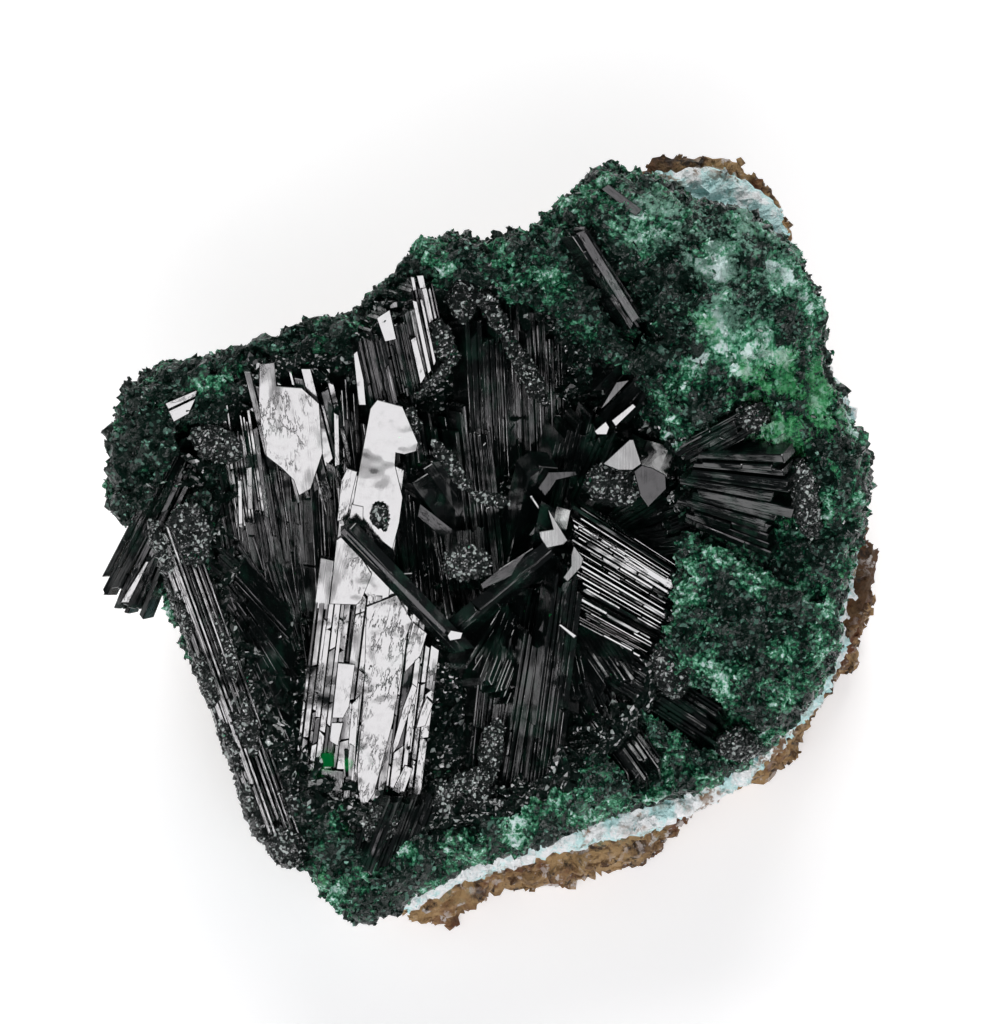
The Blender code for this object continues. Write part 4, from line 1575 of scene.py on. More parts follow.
@dataclass
class PrismBundles:
    """A piece made of bundles: each lath of the frame is split into ribs with broken ends."""

    name: str
    node: str
    bundles: tuple[Bundle, ...]
    seed: int
    facets: tuple[Facet, ...] = ()

    def rib(
        self,
        target: PrismMesh,
        bundle: Bundle,
        lath: Lath,
        ends: tuple[float, float],
        turn: float,
        draw: random.Random,
    ) -> None:
        """Adds one rib.

        Args:
            target: where the rib goes.
            bundle: the bundle it belongs to.
            lath: its edges and its lift; the ends aren't read.
            ends: where it starts and ends along the bundle, in millimetres.
            turn: how far its broad face turns about its length, in degrees.
            draw: the source of its irregularity.
        """
        along, across, out = bundle.axes()
        width = lath.right - lath.left
        bevel = min(draw.uniform(*RIB_BEVEL), RIB_BEVEL_SHARE * width)
        middle = 0.5 * (lath.left + lath.right)
        rise = math.tan(math.radians(turn))
        bottom = -bundle.thick - RIB_ROOT
        section = (
            (lath.left, bottom),
            (lath.left, lath.lift - bevel),
            (lath.left + bevel, lath.lift),
            (lath.right - bevel, lath.lift),
            (lath.right, lath.lift - bevel),
            (lath.right, bottom),
        )
        low_slant, high_slant = draw.uniform(-LOW_SLANT, LOW_SLANT), draw.uniform(-HIGH_SLANT, HIGH_SLANT)
        nip = min(RIB_NIP, RIB_NIP_SHARE * (ends[1] - ends[0]))
        rows = (
            (ends[0], low_slant, LOW_SINK * bevel),
            (ends[0] + nip, low_slant, 0.0),
            (ends[1] - nip, high_slant, 0.0),
            (ends[1], high_slant, HIGH_SINK * bevel),
        )
        loops, maps = [], []
        for place, slant, sink in rows:
            loop, row = [], []
            around = 0.0
            before = section[0]
            for side, height in section:
                reach = place + slant * (side - middle)
                top = height > bottom
                level = height + (rise * (side - middle) - sink) * top
                fan = math.radians(bundle.spread) * side / (0.5 * bundle.width())
                shift = side + (reach + bundle.spread_from) * math.tan(fan)
                around += math.hypot(side - before[0], height - before[1])
                before = (side, height)
                loop.append(Vector(bundle.low) + along * reach + across * shift + out * level)
                row.append((around + middle, reach))
            loops.append(loop)
            maps.append(row)
        growth = bundle.growth
        tone = draw.random()
        etch, stria = growth.etch * draw.uniform(0.3, 1.0), growth.stria * draw.uniform(0.4, 1.0)
        target.add(loops, maps, Skin(tone, etch, stria))

    def fill(self, target: PrismMesh, bundle: Bundle, draw: random.Random) -> None:
        """Adds a bundle's ribs.

        Args:
            target: where they go.
            bundle: the bundle.
            draw: the source of its irregularity.
        """
        growth = bundle.growth
        length = bundle.length()
        for lath in bundle.laths:
            start, end = lath.start * length, lath.end * length
            whole = growth.whole_from * length + draw.uniform(-WHOLE_STEP, WHOLE_STEP)
            if whole < end:
                wide = Lath(lath.left + RIB_GAP, lath.right - RIB_GAP, 0, 0, lath.lift)
                self.rib(target, bundle, wide, (whole, end), draw.gauss(0, WHOLE_TILT), draw)
                end = whole + WHOLE_OVERLAP
            left = lath.left
            while left < lath.right - 0.25 * growth.rib:
                right = left + growth.rib * draw.uniform(*RIB_WIDTHS)
                if right > lath.right - 0.4 * growth.rib:
                    right = lath.right
                self.column(target, bundle, Lath(left, right, 0, 0, lath.lift), (start, end), draw)
                left = right

    def column(
        self, target: PrismMesh, bundle: Bundle, lath: Lath, ends: tuple[float, float], draw: random.Random
    ) -> None:
        """Adds the ribs that stand end to end between one pair of edges.

        Args:
            target: where they go.
            bundle: the bundle.
            lath: the edges and the lift; the ends aren't read.
            ends: where the column may start and end, in millimetres.
            draw: the source of its irregularity.
        """
        growth = bundle.growth
        whole = ends[1] - ends[0]
        place = ends[0] + draw.uniform(0.0, growth.ragged) * whole
        last = ends[1] - (draw.uniform(0.0, growth.ragged) * whole if growth.whole_from > 1 else 0.0)
        while place < last - SHORTEST_RIB:
            reach = draw.uniform(*BROKEN_SHARE) * whole if draw.random() < growth.broken else whole
            stop = min(last, place + reach)
            lift = lath.lift + draw.gauss(0, growth.step)
            left = lath.left + draw.uniform(0.0, growth.groove)
            right = lath.right - draw.uniform(0.0, growth.groove)
            turn = draw.gauss(0, growth.tilt)
            self.rib(target, bundle, Lath(left, right, 0, 0, lift), (place, stop), turn, draw)
            place = stop + RIB_GAP

    def build(self, looks: dict[str, Material]) -> None:
        """Makes the piece and ties it to the frame.

        Args:
            looks: the materials by name.
        """
        draw = random.Random(self.seed)
        target = PrismMesh()
        for bundle in self.bundles:
            self.fill(target, bundle, draw)
        for facet in self.facets:
            facet.add_to(target, draw.random())
        keep_piece(target.build(self.name, looks["atacamite"]), Slot.ATACAMITE, self.node)


MIRROR = Growth(rib=0.4, step=0.07, tilt=7.5, broken=0.95, whole_from=0.55, etch=1.0, groove=0.04, ragged=0.2)
SHEET = Growth(rib=0.36, step=0.09, tilt=6.5, broken=0.6, etch=0.7, groove=0.05, ragged=0.25)
COMB = Growth(rib=0.22, step=0.10, tilt=5.0, broken=0.4, etch=0.2, groove=0.05, stria=0.25)
PLAIN = Growth(rib=0.9, step=0.03, tilt=0.8, broken=0.05, etch=0.1, ragged=0.03)
DARK = Growth(rib=0.45, step=0.04, tilt=3.0, broken=0.2, etch=0.3, ragged=0.03, stria=0.25)
EDGE = Growth(rib=0.26, step=0.12, tilt=12.0, broken=0.35, etch=0.8, groove=0.06, ragged=0.1, stria=1.2)
BLADE = Growth(rib=0.3, step=0.08, tilt=5.0, broken=0.3, etch=0.5, groove=0.04, ragged=0.1, stria=0.5)
FAN = Growth(rib=0.17, step=0.09, tilt=8.0, broken=0.7, etch=0.1, groove=0.09, ragged=0.16)
FINE = Growth(rib=0.22, step=0.08, tilt=5.0, broken=0.4, etch=0.1, groove=0.04, ragged=0.2, stria=1.0)
LOOSE = Growth(rib=0.24, step=0.07, tilt=5.0, broken=0.35, etch=0.1, groove=0.05, stria=0.6)

GREAT_BLADE = set_laths(
    (-3.0, -2.1, 0.03, 0.62, -0.35), (-2.2, -1.2, 0.00, 0.83, -0.06), (-1.3, -0.5, 0.00, 0.90, -0.02),
    (-0.6, 1.3, 0.00, 0.86, 0.04), (1.2, 2.5, 0.00, 0.61, -0.15), (2.4, 3.6, 0.04, 0.53, 0.10),
    (3.5, 4.6, 0.02, 0.45, -0.34),
)
SECOND_BLADE = set_laths(
    (-1.6, -0.3, 0.46, 0.99, 0.0), (-0.4, 1.1, 0.26, 0.93, 0.08), (1.0, 2.6, 0.10, 0.90, -0.05),
    (2.5, 3.4, 0.00, 0.84, -0.4),
)
TOP_GROUP = set_laths(
    (-3.1, -2.2, -0.02, 0.66, -0.1), (-2.3, -1.5, -0.05, 0.70, 0.05), (-1.6, -0.7, 0.05, 0.86, -0.12),
    (-0.8, 0.0, 0.00, 0.78, 0.08), (-0.1, 0.7, 0.06, 0.84, -0.1), (0.6, 1.4, 0.10, 1.02, 0.12),
    (1.3, 2.1, 0.18, 0.98, 0.0),
)
OPEN_FAN = set_laths(
    (-2.7, -1.8, 0.14, 0.78, 0.05), (-1.9, -0.9, 0.08, 0.86, -0.08), (-1.0, 0.0, 0.06, 0.96, 0.08),
    (-0.1, 0.9, 0.10, 1.06, 0.0), (0.8, 1.8, 0.14, 1.16, 0.08), (1.7, 2.7, 0.18, 1.24, 0.14),
)
EDGE_LATHS = set_laths(
    (-1.3, -0.6, 0.05, 0.94, -0.4), (-0.7, 0.5, 0.00, 1.00, 0.0), (0.4, 1.2, 0.00, 0.96, -0.3),
)

LEFT_BUNDLES = (
    Bundle((-8.9, -17.2, -7.0), (-5.8, 8.1, -2.6), 1.45, GREAT_BLADE, 0.0, MIRROR),
    Bundle((-10.1, -1.2, -7.2), (-13.1, 10.9, -4.0), 1.5, SECOND_BLADE, 0.0, SHEET),
    Bundle((-9.2, -8.0, -8.6), (-12.6, 2.8, -7.6), 1.4, even_laths(4.4, 2, 11), 29.0, FINE),
    Bundle((-13.9, 0.2, -6.8), (-15.2, 9.1, -4.2), 1.0, even_laths(1.8, 3, 12, 0.3), 0.0, COMB),
    Bundle((-12.3, -11.2, -8.0), (-15.7, -1.4, -5.0), 1.6, even_laths(2.2, 2, 21), 20.0, FINE),
    Bundle((-11.0, -7.4, -8.2), (-16.2, 0.6, -5.6), 1.5, even_laths(2.0, 2, 22), 20.0, FINE),
    Bundle((-3.9, 8.0, -5.0), (-5.4, 15.0, -3.6), 2.2, TOP_GROUP, 20.0, LOOSE),
    Bundle((-6.4, -20.2, -3.9), (-3.8, -13.4, -5.0), 1.4, even_laths(3.0, 4, 64), 16.0, FINE),
    Bundle((-8.6, -19.6, -4.3), (-7.4, -15.4, -5.6), 1.2, even_laths(1.6, 2, 65), -12.0, FINE),
)
LEFT_FACETS = (
    # The great blade: its clean top, the plate and the block beside it, and its cracked sheets
    Facet(
        (
            (-7.0, 7.7), (-6.6, 8.2), (-5.1, 7.8), (-4.2, 5.7), (-4.3, 5.2), (-5.0, 5.0), (-5.5, 5.1),
            (-5.55, 4.4), (-5.1, 2.5), (-5.3, 1.0), (-5.7, -0.55), (-7.3, 0.7), (-8.2, 1.2),
        ),
        -3.72, 1.0, grain=13.0, etch=0.0, wave=0.8,
    ),
    Facet(((-8.36, 4.2), (-7.75, 4.0), (-8.4, 1.2), (-8.96, 1.1), (-8.7, 3.5)), -3.80, 0.8, grain=13.0),
    Facet(((-8.1, 2.1), (-7.4, 1.95), (-7.43, 0.8), (-8.25, 1.2)), -3.62, 0.6, grain=13.0, etch=0.0),
    Facet(
        ((-9.0, 0.0), (-8.7, 0.2), (-7.6, -0.9), (-6.9, -2.0), (-7.5, -3.5), (-7.8, -3.8), (-9.4, -3.75)),
        -3.74, 0.8, grain=13.0, etch=0.5, wave=1.0,
    ),
    Facet(
        (
            (-7.25, -3.9), (-5.46, -3.2), (-4.56, -4.74), (-5.1, -6.2), (-5.1, -7.3), (-5.68, -10.67),
            (-6.24, -12.8), (-6.8, -14.9), (-7.5, -15.9), (-7.75, -14.7), (-7.8, -13.6), (-7.47, -9.77),
            (-7.36, -7.76),
        ),
        -3.70, 0.9, grain=12.0, etch=0.6, wave=1.0,
    ),
    Facet(
        ((-4.5, -4.8), (-3.67, -5.47), (-4.06, -6.75), (-4.45, -7.2), (-5.0, -7.76), (-4.9, -6.4)),
        -3.80, 0.7, grain=14.0, etch=0.5,
    ),
    Facet(
        ((-4.56, -8.4), (-4.25, -8.65), (-5.35, -12.0), (-5.68, -12.5), (-5.7, -12.0), (-5.1, -9.8)),
        -3.85, 0.7, grain=16.0,
    ),
    Facet(
        ((-3.72, -9.2), (-3.33, -9.6), (-3.78, -10.9), (-4.34, -11.05), (-4.05, -10.0)),
        -3.9, 0.9, grain=14.0,
    ),
    Facet(((-5.0, -13.2), (-4.5, -13.4), (-5.1, -15.0), (-5.74, -14.7)), -3.8, 0.9, grain=16.0),
    Facet(
        ((-8.92, -7.2), (-7.9, -7.3), (-8.25, -9.77), (-8.6, -10.44), (-9.26, -10.44)),
        -3.82, 0.7, lean=0.04, grain=9.0, etch=0.2,
    ),
    Facet(((-9.3, -10.7), (-8.6, -10.7), (-8.92, -12.1), (-9.43, -11.8)), -3.86, 0.7, grain=8.0),
    Facet(
        ((-8.1, -9.6), (-7.64, -9.1), (-7.8, -11.3), (-8.0, -14.3), (-8.4, -14.1), (-8.36, -12.5)),
        -3.8, 0.7, grain=4.0, etch=0.6,
    ),
    Facet(((-9.9, -13.4), (-8.6, -13.6), (-8.64, -14.8), (-9.93, -14.6)), -3.66, 1.0, lean=0.14, grain=3.0),
    # Two steep faces with spots of painted green glow on them
    Facet(((-10.0, -12.5), (-9.1, -12.5), (-9.1, -13.3), (-10.0, -13.3)), -3.6, 0.8, lean=0.8),
    Facet(((-8.58, -12.3), (-8.15, -12.3), (-8.2, -13.9), (-8.52, -13.9)), -3.7, 0.8, lean=-0.9),
    # The second blade and the strips beside it
    Facet(
        (
            (-13.5, 10.3), (-12.6, 10.4), (-12.5, 9.0), (-11.0, 8.9), (-10.0, 8.0), (-9.8, 5.1), (-10.5, 3.0),
            (-11.2, 2.6), (-11.5, 3.5), (-12.2, 4.2), (-13.1, 4.9), (-13.4, 6.5), (-13.55, 8.1),
        ),
        -5.75, 1.0, grain=-6.0, etch=0.45, wave=0.9,
    ),
    Facet(((-9.16, 7.5), (-8.85, 7.3), (-8.8, 4.4), (-9.1, 4.3)), -5.6, 0.8, grain=-2.0),
    Facet(((-13.9, 6.5), (-13.6, 6.6), (-12.95, 1.3), (-13.2, 1.36)), -6.0, 0.9, lean=0.2, grain=-8.0),
    Facet(((-14.3, 4.2), (-13.95, 4.3), (-13.9, 1.8), (-14.2, 1.8)), -6.05, 0.9, lean=0.1),
    Facet(((-14.8, 3.5), (-14.55, 3.5), (-14.5, 0.95), (-14.75, 0.9)), -6.15, 0.9),
    Facet(((-19.0, 8.0), (-17.1, 8.8), (-17.2, 8.4), (-18.8, 7.65)), -4.1, 1.0, lean=0.05, grain=66.0),
    Facet(((-18.8, 7.55), (-17.2, 8.3), (-17.6, 7.4), (-18.5, 6.9)), -4.15, 1.0, grain=66.0),
    # The small group at the top
    Facet(((-6.64, 13.0), (-5.86, 13.5), (-5.47, 11.75), (-6.15, 11.6)), -5.7, 1.0, grain=-13.0, etch=0.0),
    Facet(((-4.65, 15.4), (-4.42, 15.37), (-4.28, 14.64), (-4.5, 14.55)), -5.75, 1.0, grain=-11.0),
    Facet(((-4.3, 15.46), (-3.88, 15.5), (-3.73, 14.74), (-4.1, 14.7)), -5.65, 1.0, grain=-11.0),
    Facet(((-4.56, 14.06), (-4.26, 13.96), (-3.42, 9.94), (-3.63, 9.7)), -5.7, 1.0, grain=-11.0),
    Facet(((-4.1, 14.06), (-3.92, 14.1), (-3.15, 10.47), (-3.29, 10.18)), -5.8, 1.0, grain=-11.0),
    Facet(((-4.65, 11.73), (-4.33, 11.93), (-3.76, 9.6), (-4.07, 9.11)), -5.75, 1.0, grain=-11.0),
    Facet(((-8.0, 10.9), (-7.55, 11.3), (-7.25, 7.9), (-7.7, 7.9)), -5.9, 1.0, grain=-7.0),
    Facet(((-7.45, 10.9), (-7.2, 10.9), (-6.8, 8.3), (-7.1, 8.1)), -5.95, 1.0, lean=0.1, grain=-7.0),
)
MIDDLE_FACETS = (
    # The grey lower edge of the dark prism that crosses the great blade
    Facet(
        ((-8.75, 0.5), (-8.5, 0.72), (-5.0, -2.75), (-2.3, -5.35), (-2.55, -5.6), (-5.3, -2.98)),
        -2.45, 0.9, lean=-0.27, rise=0.069, grain=-43.0, etch=0.2,
    ),
    # The grey side of the dark prism, the bright end faces where the prisms meet, the grey band
    Facet(((-4.1, 2.15), (-1.84, 0.37), (-2.57, -0.04), (-4.24, 1.42)), -4.7, 1.6, lean=-0.36, grain=-52.0),
    Facet(
        ((2.87, 0.48), (3.7, 0.62), (3.4, 1.8), (4.54, 0.0), (4.28, -0.25), (3.33, -0.46), (2.92, 0.18)),
        -1.6, 3.0, lean=0.13, etch=0.0,
    ),
    Facet(
        ((4.9, -0.3), (5.48, -1.09), (5.32, -1.6), (4.54, -2.44), (4.28, -2.18), (4.75, -1.5), (4.75, -0.88)),
        -2.4, 1.8, lean=-0.13, etch=0.0,
    ),
    Facet(((2.82, -5.26), (4.28, -2.5), (4.8, -2.25), (3.33, -5.58)), -3.1, 1.2, lean=0.40, grain=28.0),
    Facet(
        ((-0.53, -2.55), (0.52, -1.71), (2.5, -0.46), (2.9, -0.67), (2.3, -1.6), (-0.4, -2.86)),
        -2.8, 1.4, lean=-0.30, rise=0.22, grain=60.0, etch=0.1,
    ),
    Facet(((-2.5, -5.58), (-2.3, -5.26), (-1.57, -5.4), (-1.7, -5.78), (-2.35, -5.9)), -2.2, 1.0, etch=0.0),
    Facet(((-1.78, -5.26), (-1.36, -4.53), (-0.68, -4.1), (-1.57, -5.26)), -3.3, 1.0, lean=0.34),
    Facet(
        ((2.82, 3.04), (3.44, 3.98), (5.0, 4.03), (5.1, 3.8), (3.86, 3.5), (3.24, 2.57)),
        -4.3, 1.6, lean=0.40, etch=0.0,
    ),
    Facet(((2.3, 2.57), (2.45, 2.65), (3.1, 1.65), (2.95, 1.6)), -3.9, 1.2),
    Facet(((2.25, 0.27), (2.92, 1.2), (3.19, 1.0), (2.5, 0.32)), -2.6, 2.0, lean=0.36),
    Facet(((3.97, -4.95), (4.15, -4.9), (5.1, -5.6), (4.9, -5.75)), -2.8, 1.2, etch=0.0),
)
RIGHT_FACETS = (
    # The light strips along the upper edge of the fan
    Facet(((5.09, 0.94), (6.43, 0.29), (6.32, 0.0), (4.97, 0.64)), -4.15, 0.9, grain=-60.0),
    Facet(((6.55, 0.18), (8.01, -0.64), (7.89, -0.94), (6.49, -0.12)), -4.15, 0.9, grain=-60.0),
    Facet(
        ((7.95, -0.88), (11.1, -2.57), (11.17, -3.2), (9.06, -2.1), (7.72, -1.29)),
        -4.15, 0.9, grain=-60.0,
    ),
    # The two end faces of the stout prism, and the three long faces above it
    Facet(
        ((6.58, 4.45), (8.15, 5.9), (8.4, 5.9), (8.88, 4.45), (8.36, 4.08), (7.5, 4.08)),
        -3.7, 3.4, lean=0.14, rise=0.20, etch=0.0, bevel=0.05,
    ),
    Facet(
        ((8.4, 4.03), (8.88, 4.4), (9.5, 4.24), (10.29, 3.82), (10.34, 2.99), (9.29, 1.94), (8.77, 2.67)),
        -4.0, 3.4, lean=-0.33, etch=0.0, bevel=0.05,
    ),
    Facet(((6.1, 6.38), (6.78, 6.96), (7.0, 6.6), (6.84, 6.17), (6.26, 6.17)), -4.9, 2.4, etch=0.0),
    Facet(((7.1, 7.0), (8.36, 8.0), (8.56, 7.8), (7.36, 6.64)), -4.8, 2.0, lean=0.10, rise=0.24, etch=0.1),
    Facet(((6.5, 7.68), (7.4, 9.25), (8.15, 9.36), (6.9, 8.0)), -4.7, 2.0, lean=0.20, etch=0.0),
)
CREST_FACETS = (
    Facet(
        ((5.0, 17.9), (5.5, 18.1), (8.7, 13.0), (8.3, 12.7)),
        -1.6, 0.6, lean=0.24, rise=0.126, grain=-32.0, etch=0.8, stria=0.5,
    ),
    Facet(
        ((6.5, 20.5), (6.9, 20.8), (8.9, 19.3), (8.5, 18.9)),
        -4.7, 1.4, lean=0.26, grain=-50.0, etch=0.8, stria=0.8,
    ),
)
MIDDLE_BUNDLES = (
    Bundle((1.0, 2.0, -8.4), (0.4, 15.4, -4.6), 1.8, even_laths(4.4, 4, 41), 29.0, FINE),
    Bundle((3.6, 3.4, -8.6), (3.2, 14.2, -5.6), 1.8, even_laths(2.6, 2, 42), 30.0, FINE),
    Bundle((-1.2, -6.6, -4.0), (-8.5, 1.1, -1.5), 0.9, even_laths(0.9, 2, 51, 0.04), 28.0, DARK),
    Bundle((-3.0, -5.8, -4.6), (4.0, 0.0, -2.6), 1.4, even_laths(0.9, 2, 52, 0.08), -28.0, DARK),
    Bundle((0.6, -1.8, -8.2), (-4.3, 4.9, -4.6), 1.6, even_laths(2.5, 2, 53, 0.14), 26.0, PLAIN),
    Bundle((-1.2, -3.6, -8.4), (-1.4, -1.2, -3.0), 2.2, even_laths(2.2, 2, 54, 0.10), 0.0, FINE),
    Bundle((1.6, -2.2, -8.2), (3.3, 4.6, -3.6), 1.6, even_laths(1.8, 2, 55, 0.10), 30.0, PLAIN),
    Bundle((2.6, -2.4, -8.0), (3.6, 0.8, -1.6), 1.4, even_laths(1.7, 2, 56, 0.06), 0.0, PLAIN),
    Bundle((2.7, -17.0, -7.2), (4.8, -1.0, -3.0), 1.6, even_laths(1.9, 2, 61, 0.1), 24.0, COMB),
    Bundle((1.3, -17.0, -7.6), (3.4, -3.8, -4.8), 1.6, even_laths(2.3, 3, 62), 20.0, COMB),
    Bundle((-0.4, -16.6, -7.8), (0.8, -5.2, -5.6), 1.6, even_laths(2.4, 2, 63), 22.0, COMB),
)
RIGHT_BUNDLES = (
    Bundle((11.4, -5.1, -5.2), (4.9, -1.3, -4.2), 1.6, OPEN_FAN, 0.0, FAN, 2.5),
    Bundle((6.4, 6.2, -6.8), (10.4, 10.4, -2.6), 1.6, even_laths(1.5, 2, 81, 0.1), 0.0, PLAIN),
    Bundle((6.6, 8.6, -5.4), (9.2, 11.2, -3.2), 2.2, even_laths(1.2, 1, 82, 0.1), 20.0, PLAIN),
    Bundle((9.2, 1.8, -9.0), (8.5, 3.5, -4.8), 2.6, even_laths(3.2, 2, 83, 0.06), -35.0, PLAIN),
    Bundle((10.6, 3.2, -3.4), (18.8, 1.4, 0.2), 1.5, even_laths(3.0, 5, 91, 0.24), 22.0, FINE, 12.0),
    Bundle((10.8, 4.6, -3.0), (15.6, 7.2, 0.6), 1.4, even_laths(1.5, 2, 92, 0.16), 0.0, FINE),
    Bundle((14.4, -11.8, -3.6), (6.4, -6.6, -7.0), 1.6, even_laths(2.4, 3, 101), 16.0, FINE),
    Bundle((9.6, -14.0, -4.8), (5.6, -8.4, -7.4), 1.6, even_laths(2.2, 2, 102), 16.0, FINE),
)


def lesser_bundles() -> tuple[Bundle, ...]:
    """The lesser prisms that fill the hollow between and behind the large ones.

    Returns:
        Their bundles: the long ones of the left half, the short ones along the left wall, and those
        that spread to the right from where the dark prisms meet.
    """
    draw = random.Random(77)
    # Where the dark prisms meet, across and up the face
    meeting = (3.2, -1.2)
    made = []
    for i in range(13):
        u = -16.2 + 1.25 * i
        low = (u + draw.uniform(1.0, 3.2), draw.uniform(-15.0, -8.0) + 0.5 * abs(u + 7.0), -8.6)
        high = (u, draw.uniform(7.0, 10.8), draw.uniform(-6.4, -5.2))
        roll = draw.uniform(26.0, 36.0)
        made.append(Bundle(low, high, 1.7, even_laths(2.2, 2, 200 + i), roll, FINE))
    for i in range(8):
        high = (-16.9 + 0.3 * i, -0.2 - 0.8 * i, -4.9 - 0.05 * i)
        low = (-11.6 + draw.uniform(-0.4, 0.4), -5.4 - 1.2 * i, -7.6)
        roll = draw.choice((-30.0, 28.0, 32.0))
        made.append(Bundle(low, high, 1.5, even_laths(1.5, 2, 260 + i), roll, FINE))
    for i in range(19):
        turn = math.radians(-122.0 + 11.0 * i)
        arm = Vector((math.cos(turn), math.sin(turn)))
        near, far = draw.uniform(1.2, 3.2), draw.uniform(8.8, 10.8)
        low = (meeting[0] + near * arm.x, meeting[1] + near * arm.y, draw.uniform(-8.4, -7.6))
        high = (meeting[0] + far * arm.x, meeting[1] + far * arm.y, draw.uniform(-6.2, -4.6))
        roll = draw.choice((-34.0, -28.0, 28.0, 34.0))
        made.append(Bundle(low, high, 1.7, even_laths(draw.uniform(1.5, 2.6), 2, 230 + i), roll, FINE))
    return tuple(made)


EDGE_BUNDLES = (Bundle((-12.0, -18.2, -5.6), (-18.7, 1.0, -2.0), 2.2, EDGE_LATHS, 8.0, EDGE),)
OUTLYING_BUNDLES = (
    Bundle((-22.5, -3.7, -7.4), (-17.4, 6.0, -5.0), 1.4, even_laths(2.2, 3, 31, 0.1), -26.0, BLADE),
    Bundle((-21.4, -4.6, -7.8), (-19.4, 0.4, -6.4), 1.5, even_laths(1.9, 2, 32, 0.2), -24.0, BLADE),
)
OUTLYING_FACETS = (
    Facet(((-21.7, -3.67), (-21.2, -3.67), (-20.0, -1.25), (-20.2, -1.25)), -6.2, 0.8, grain=31.0),
    Facet(((-19.3, 1.64), (-18.9, 1.76), (-18.07, 3.5), (-17.8, 4.77)), -5.9, 0.8, lean=0.28, grain=26.0),
)
CREST_BUNDLES = (
    Bundle((8.8, 12.4, -1.2), (5.1, 18.1, 0.3), 1.6, even_laths(1.1, 2, 84, 0.06), 26.0, EDGE),
)


# Studio


@dataclass(frozen=True)
class Softbox:
    """A rectangular soft light that looks at the specimen."""

    name: str
    azimuth: float
    elevation: float
    distance: float
    width: float
    height: float
    radiance: float
    tint: tuple[float, float, float] = (1.0, 1.0, 1.0)

    def build(self, target: Vector) -> None:
        """Adds the light.

        Args:
            target: the place that it looks at, in metres.
        """
        light = bpy.data.lights.new(self.name, "AREA")
        light.shape = "RECTANGLE"
        light.size, light.size_y = self.width, self.height
        light.energy = self.radiance * self.width * self.height * math.pi
        light.color = self.tint
        azimuth, elevation = math.radians(self.azimuth), math.radians(self.elevation)
        level = math.cos(elevation)
        away = Vector((math.sin(azimuth) * level, -math.cos(azimuth) * level, math.sin(elevation)))
        turn = away.to_track_quat("Z", "Y").to_matrix().to_4x4()
        lamp = bpy.data.objects.new(self.name, light)
        lamp.matrix_world = Matrix.Translation(target + away * self.distance) @ turn
        bpy.context.scene.collection.objects.link(lamp)


@dataclass(frozen=True)
class Studio:
    """Pale floor, soft light, and a camera that looks straight at the crystal face."""

    lens: float = 600.0
    sensor: float = 36.0
    pixels_per_mm: float = 17.15
    frame_height: float = 1024.0
    centre: Place = (0.588, 1.647, 0.0)
    floor_size: float = 0.9
    floor_gap: float = 0.02
    aim: Place = (0.0, 0.0, 15.0)
    softboxes: tuple[Softbox, ...] = (
        Softbox("key_halo", 0.0, 46.0, 0.365, 0.28, 0.215, 1.1, (1.0, 0.98, 1.0)),
        Softbox("key", 0.0, 46.0, 0.36, 0.21, 0.16, 3.2, (1.0, 0.98, 1.0)),
        Softbox("key_core", 0.0, 46.0, 0.355, 0.14, 0.11, 3.9, (1.0, 0.98, 1.0)),
        Softbox("near_left", -38.0, 44.0, 0.40, 0.15, 0.20, 1.3, (1.0, 0.96, 1.0)),
        Softbox("near_right", 38.0, 44.0, 0.40, 0.15, 0.20, 1.3, (1.0, 0.96, 1.0)),
        Softbox("top", 0.0, 120.0, 0.70, 0.50, 0.30, 3.6),
        Softbox("left", -90.0, 16.0, 0.55, 0.30, 0.26, 0.5),
        Softbox("right", 90.0, 16.0, 0.55, 0.30, 0.26, 0.6),
        Softbox("back", 180.0, 40.0, 0.60, 0.45, 0.30, 3.0),
    )
    pale: Colour = (0.93, 0.93, 0.93, 1.0)
    dim: Colour = (0.05, 0.05, 0.054, 1.0)

    def camera(self) -> None:
        """Makes the camera and sets it as the scene's."""
        data = bpy.data.cameras.new("camera")
        data.lens, data.sensor_width = self.lens, self.sensor
        data.clip_start, data.clip_end = 0.01, 10.0
        camera = bpy.data.objects.new("camera", data)
        distance = self.frame_height / self.pixels_per_mm * self.lens / self.sensor * MM
        turn = Matrix((FACE.across(), FACE.up(), FACE.out())).transposed().to_4x4()
        place = FACE.point(Vector(self.centre)) + FACE.out() * distance
        camera.matrix_world = Matrix.Translation(place) @ turn
        bpy.context.scene.collection.objects.link(camera)
        bpy.context.scene.camera = camera

    def floor(self, look: Material) -> None:
        """Makes the floor, a pale sheet just under the specimen.

        Args:
            look: its material.
        """
        bm = bmesh.new()
        bmesh.ops.create_grid(bm, x_segments=24, y_segments=24, size=self.floor_size)
        bmesh.ops.translate(bm, verts=bm.verts[:], vec=(0.0, 0.0, -self.floor_gap * MM))
        sheet = object_from("floor", bm)
        sheet.data.materials.append(look)
        bpy.context.scene.collection.objects.link(sheet)

    def world(self) -> None:
        """Makes a dim room that looks pale where the camera sees past the floor."""
        world = bpy.data.worlds.new("room")
        world.use_nodes = True
        graph = Graph(world.node_tree)
        background = world.node_tree.nodes["Background"]
        seen = graph.add("ShaderNodeLightPath").outputs["Is Camera Ray"]
        graph.feed(background.inputs["Color"], graph.blend(seen, self.dim, self.pale))
        bpy.context.scene.world = world

    def build(self, looks: dict[str, Material]) -> None:
        """Makes the whole studio.

        Args:
            looks: the materials by name.
        """
        self.camera()
        self.floor(looks["floor"])
        self.world()
        for softbox in self.softboxes:
            softbox.build(Vector(self.aim) * MM)
        bpy.context.scene.view_settings.view_transform = "Standard"


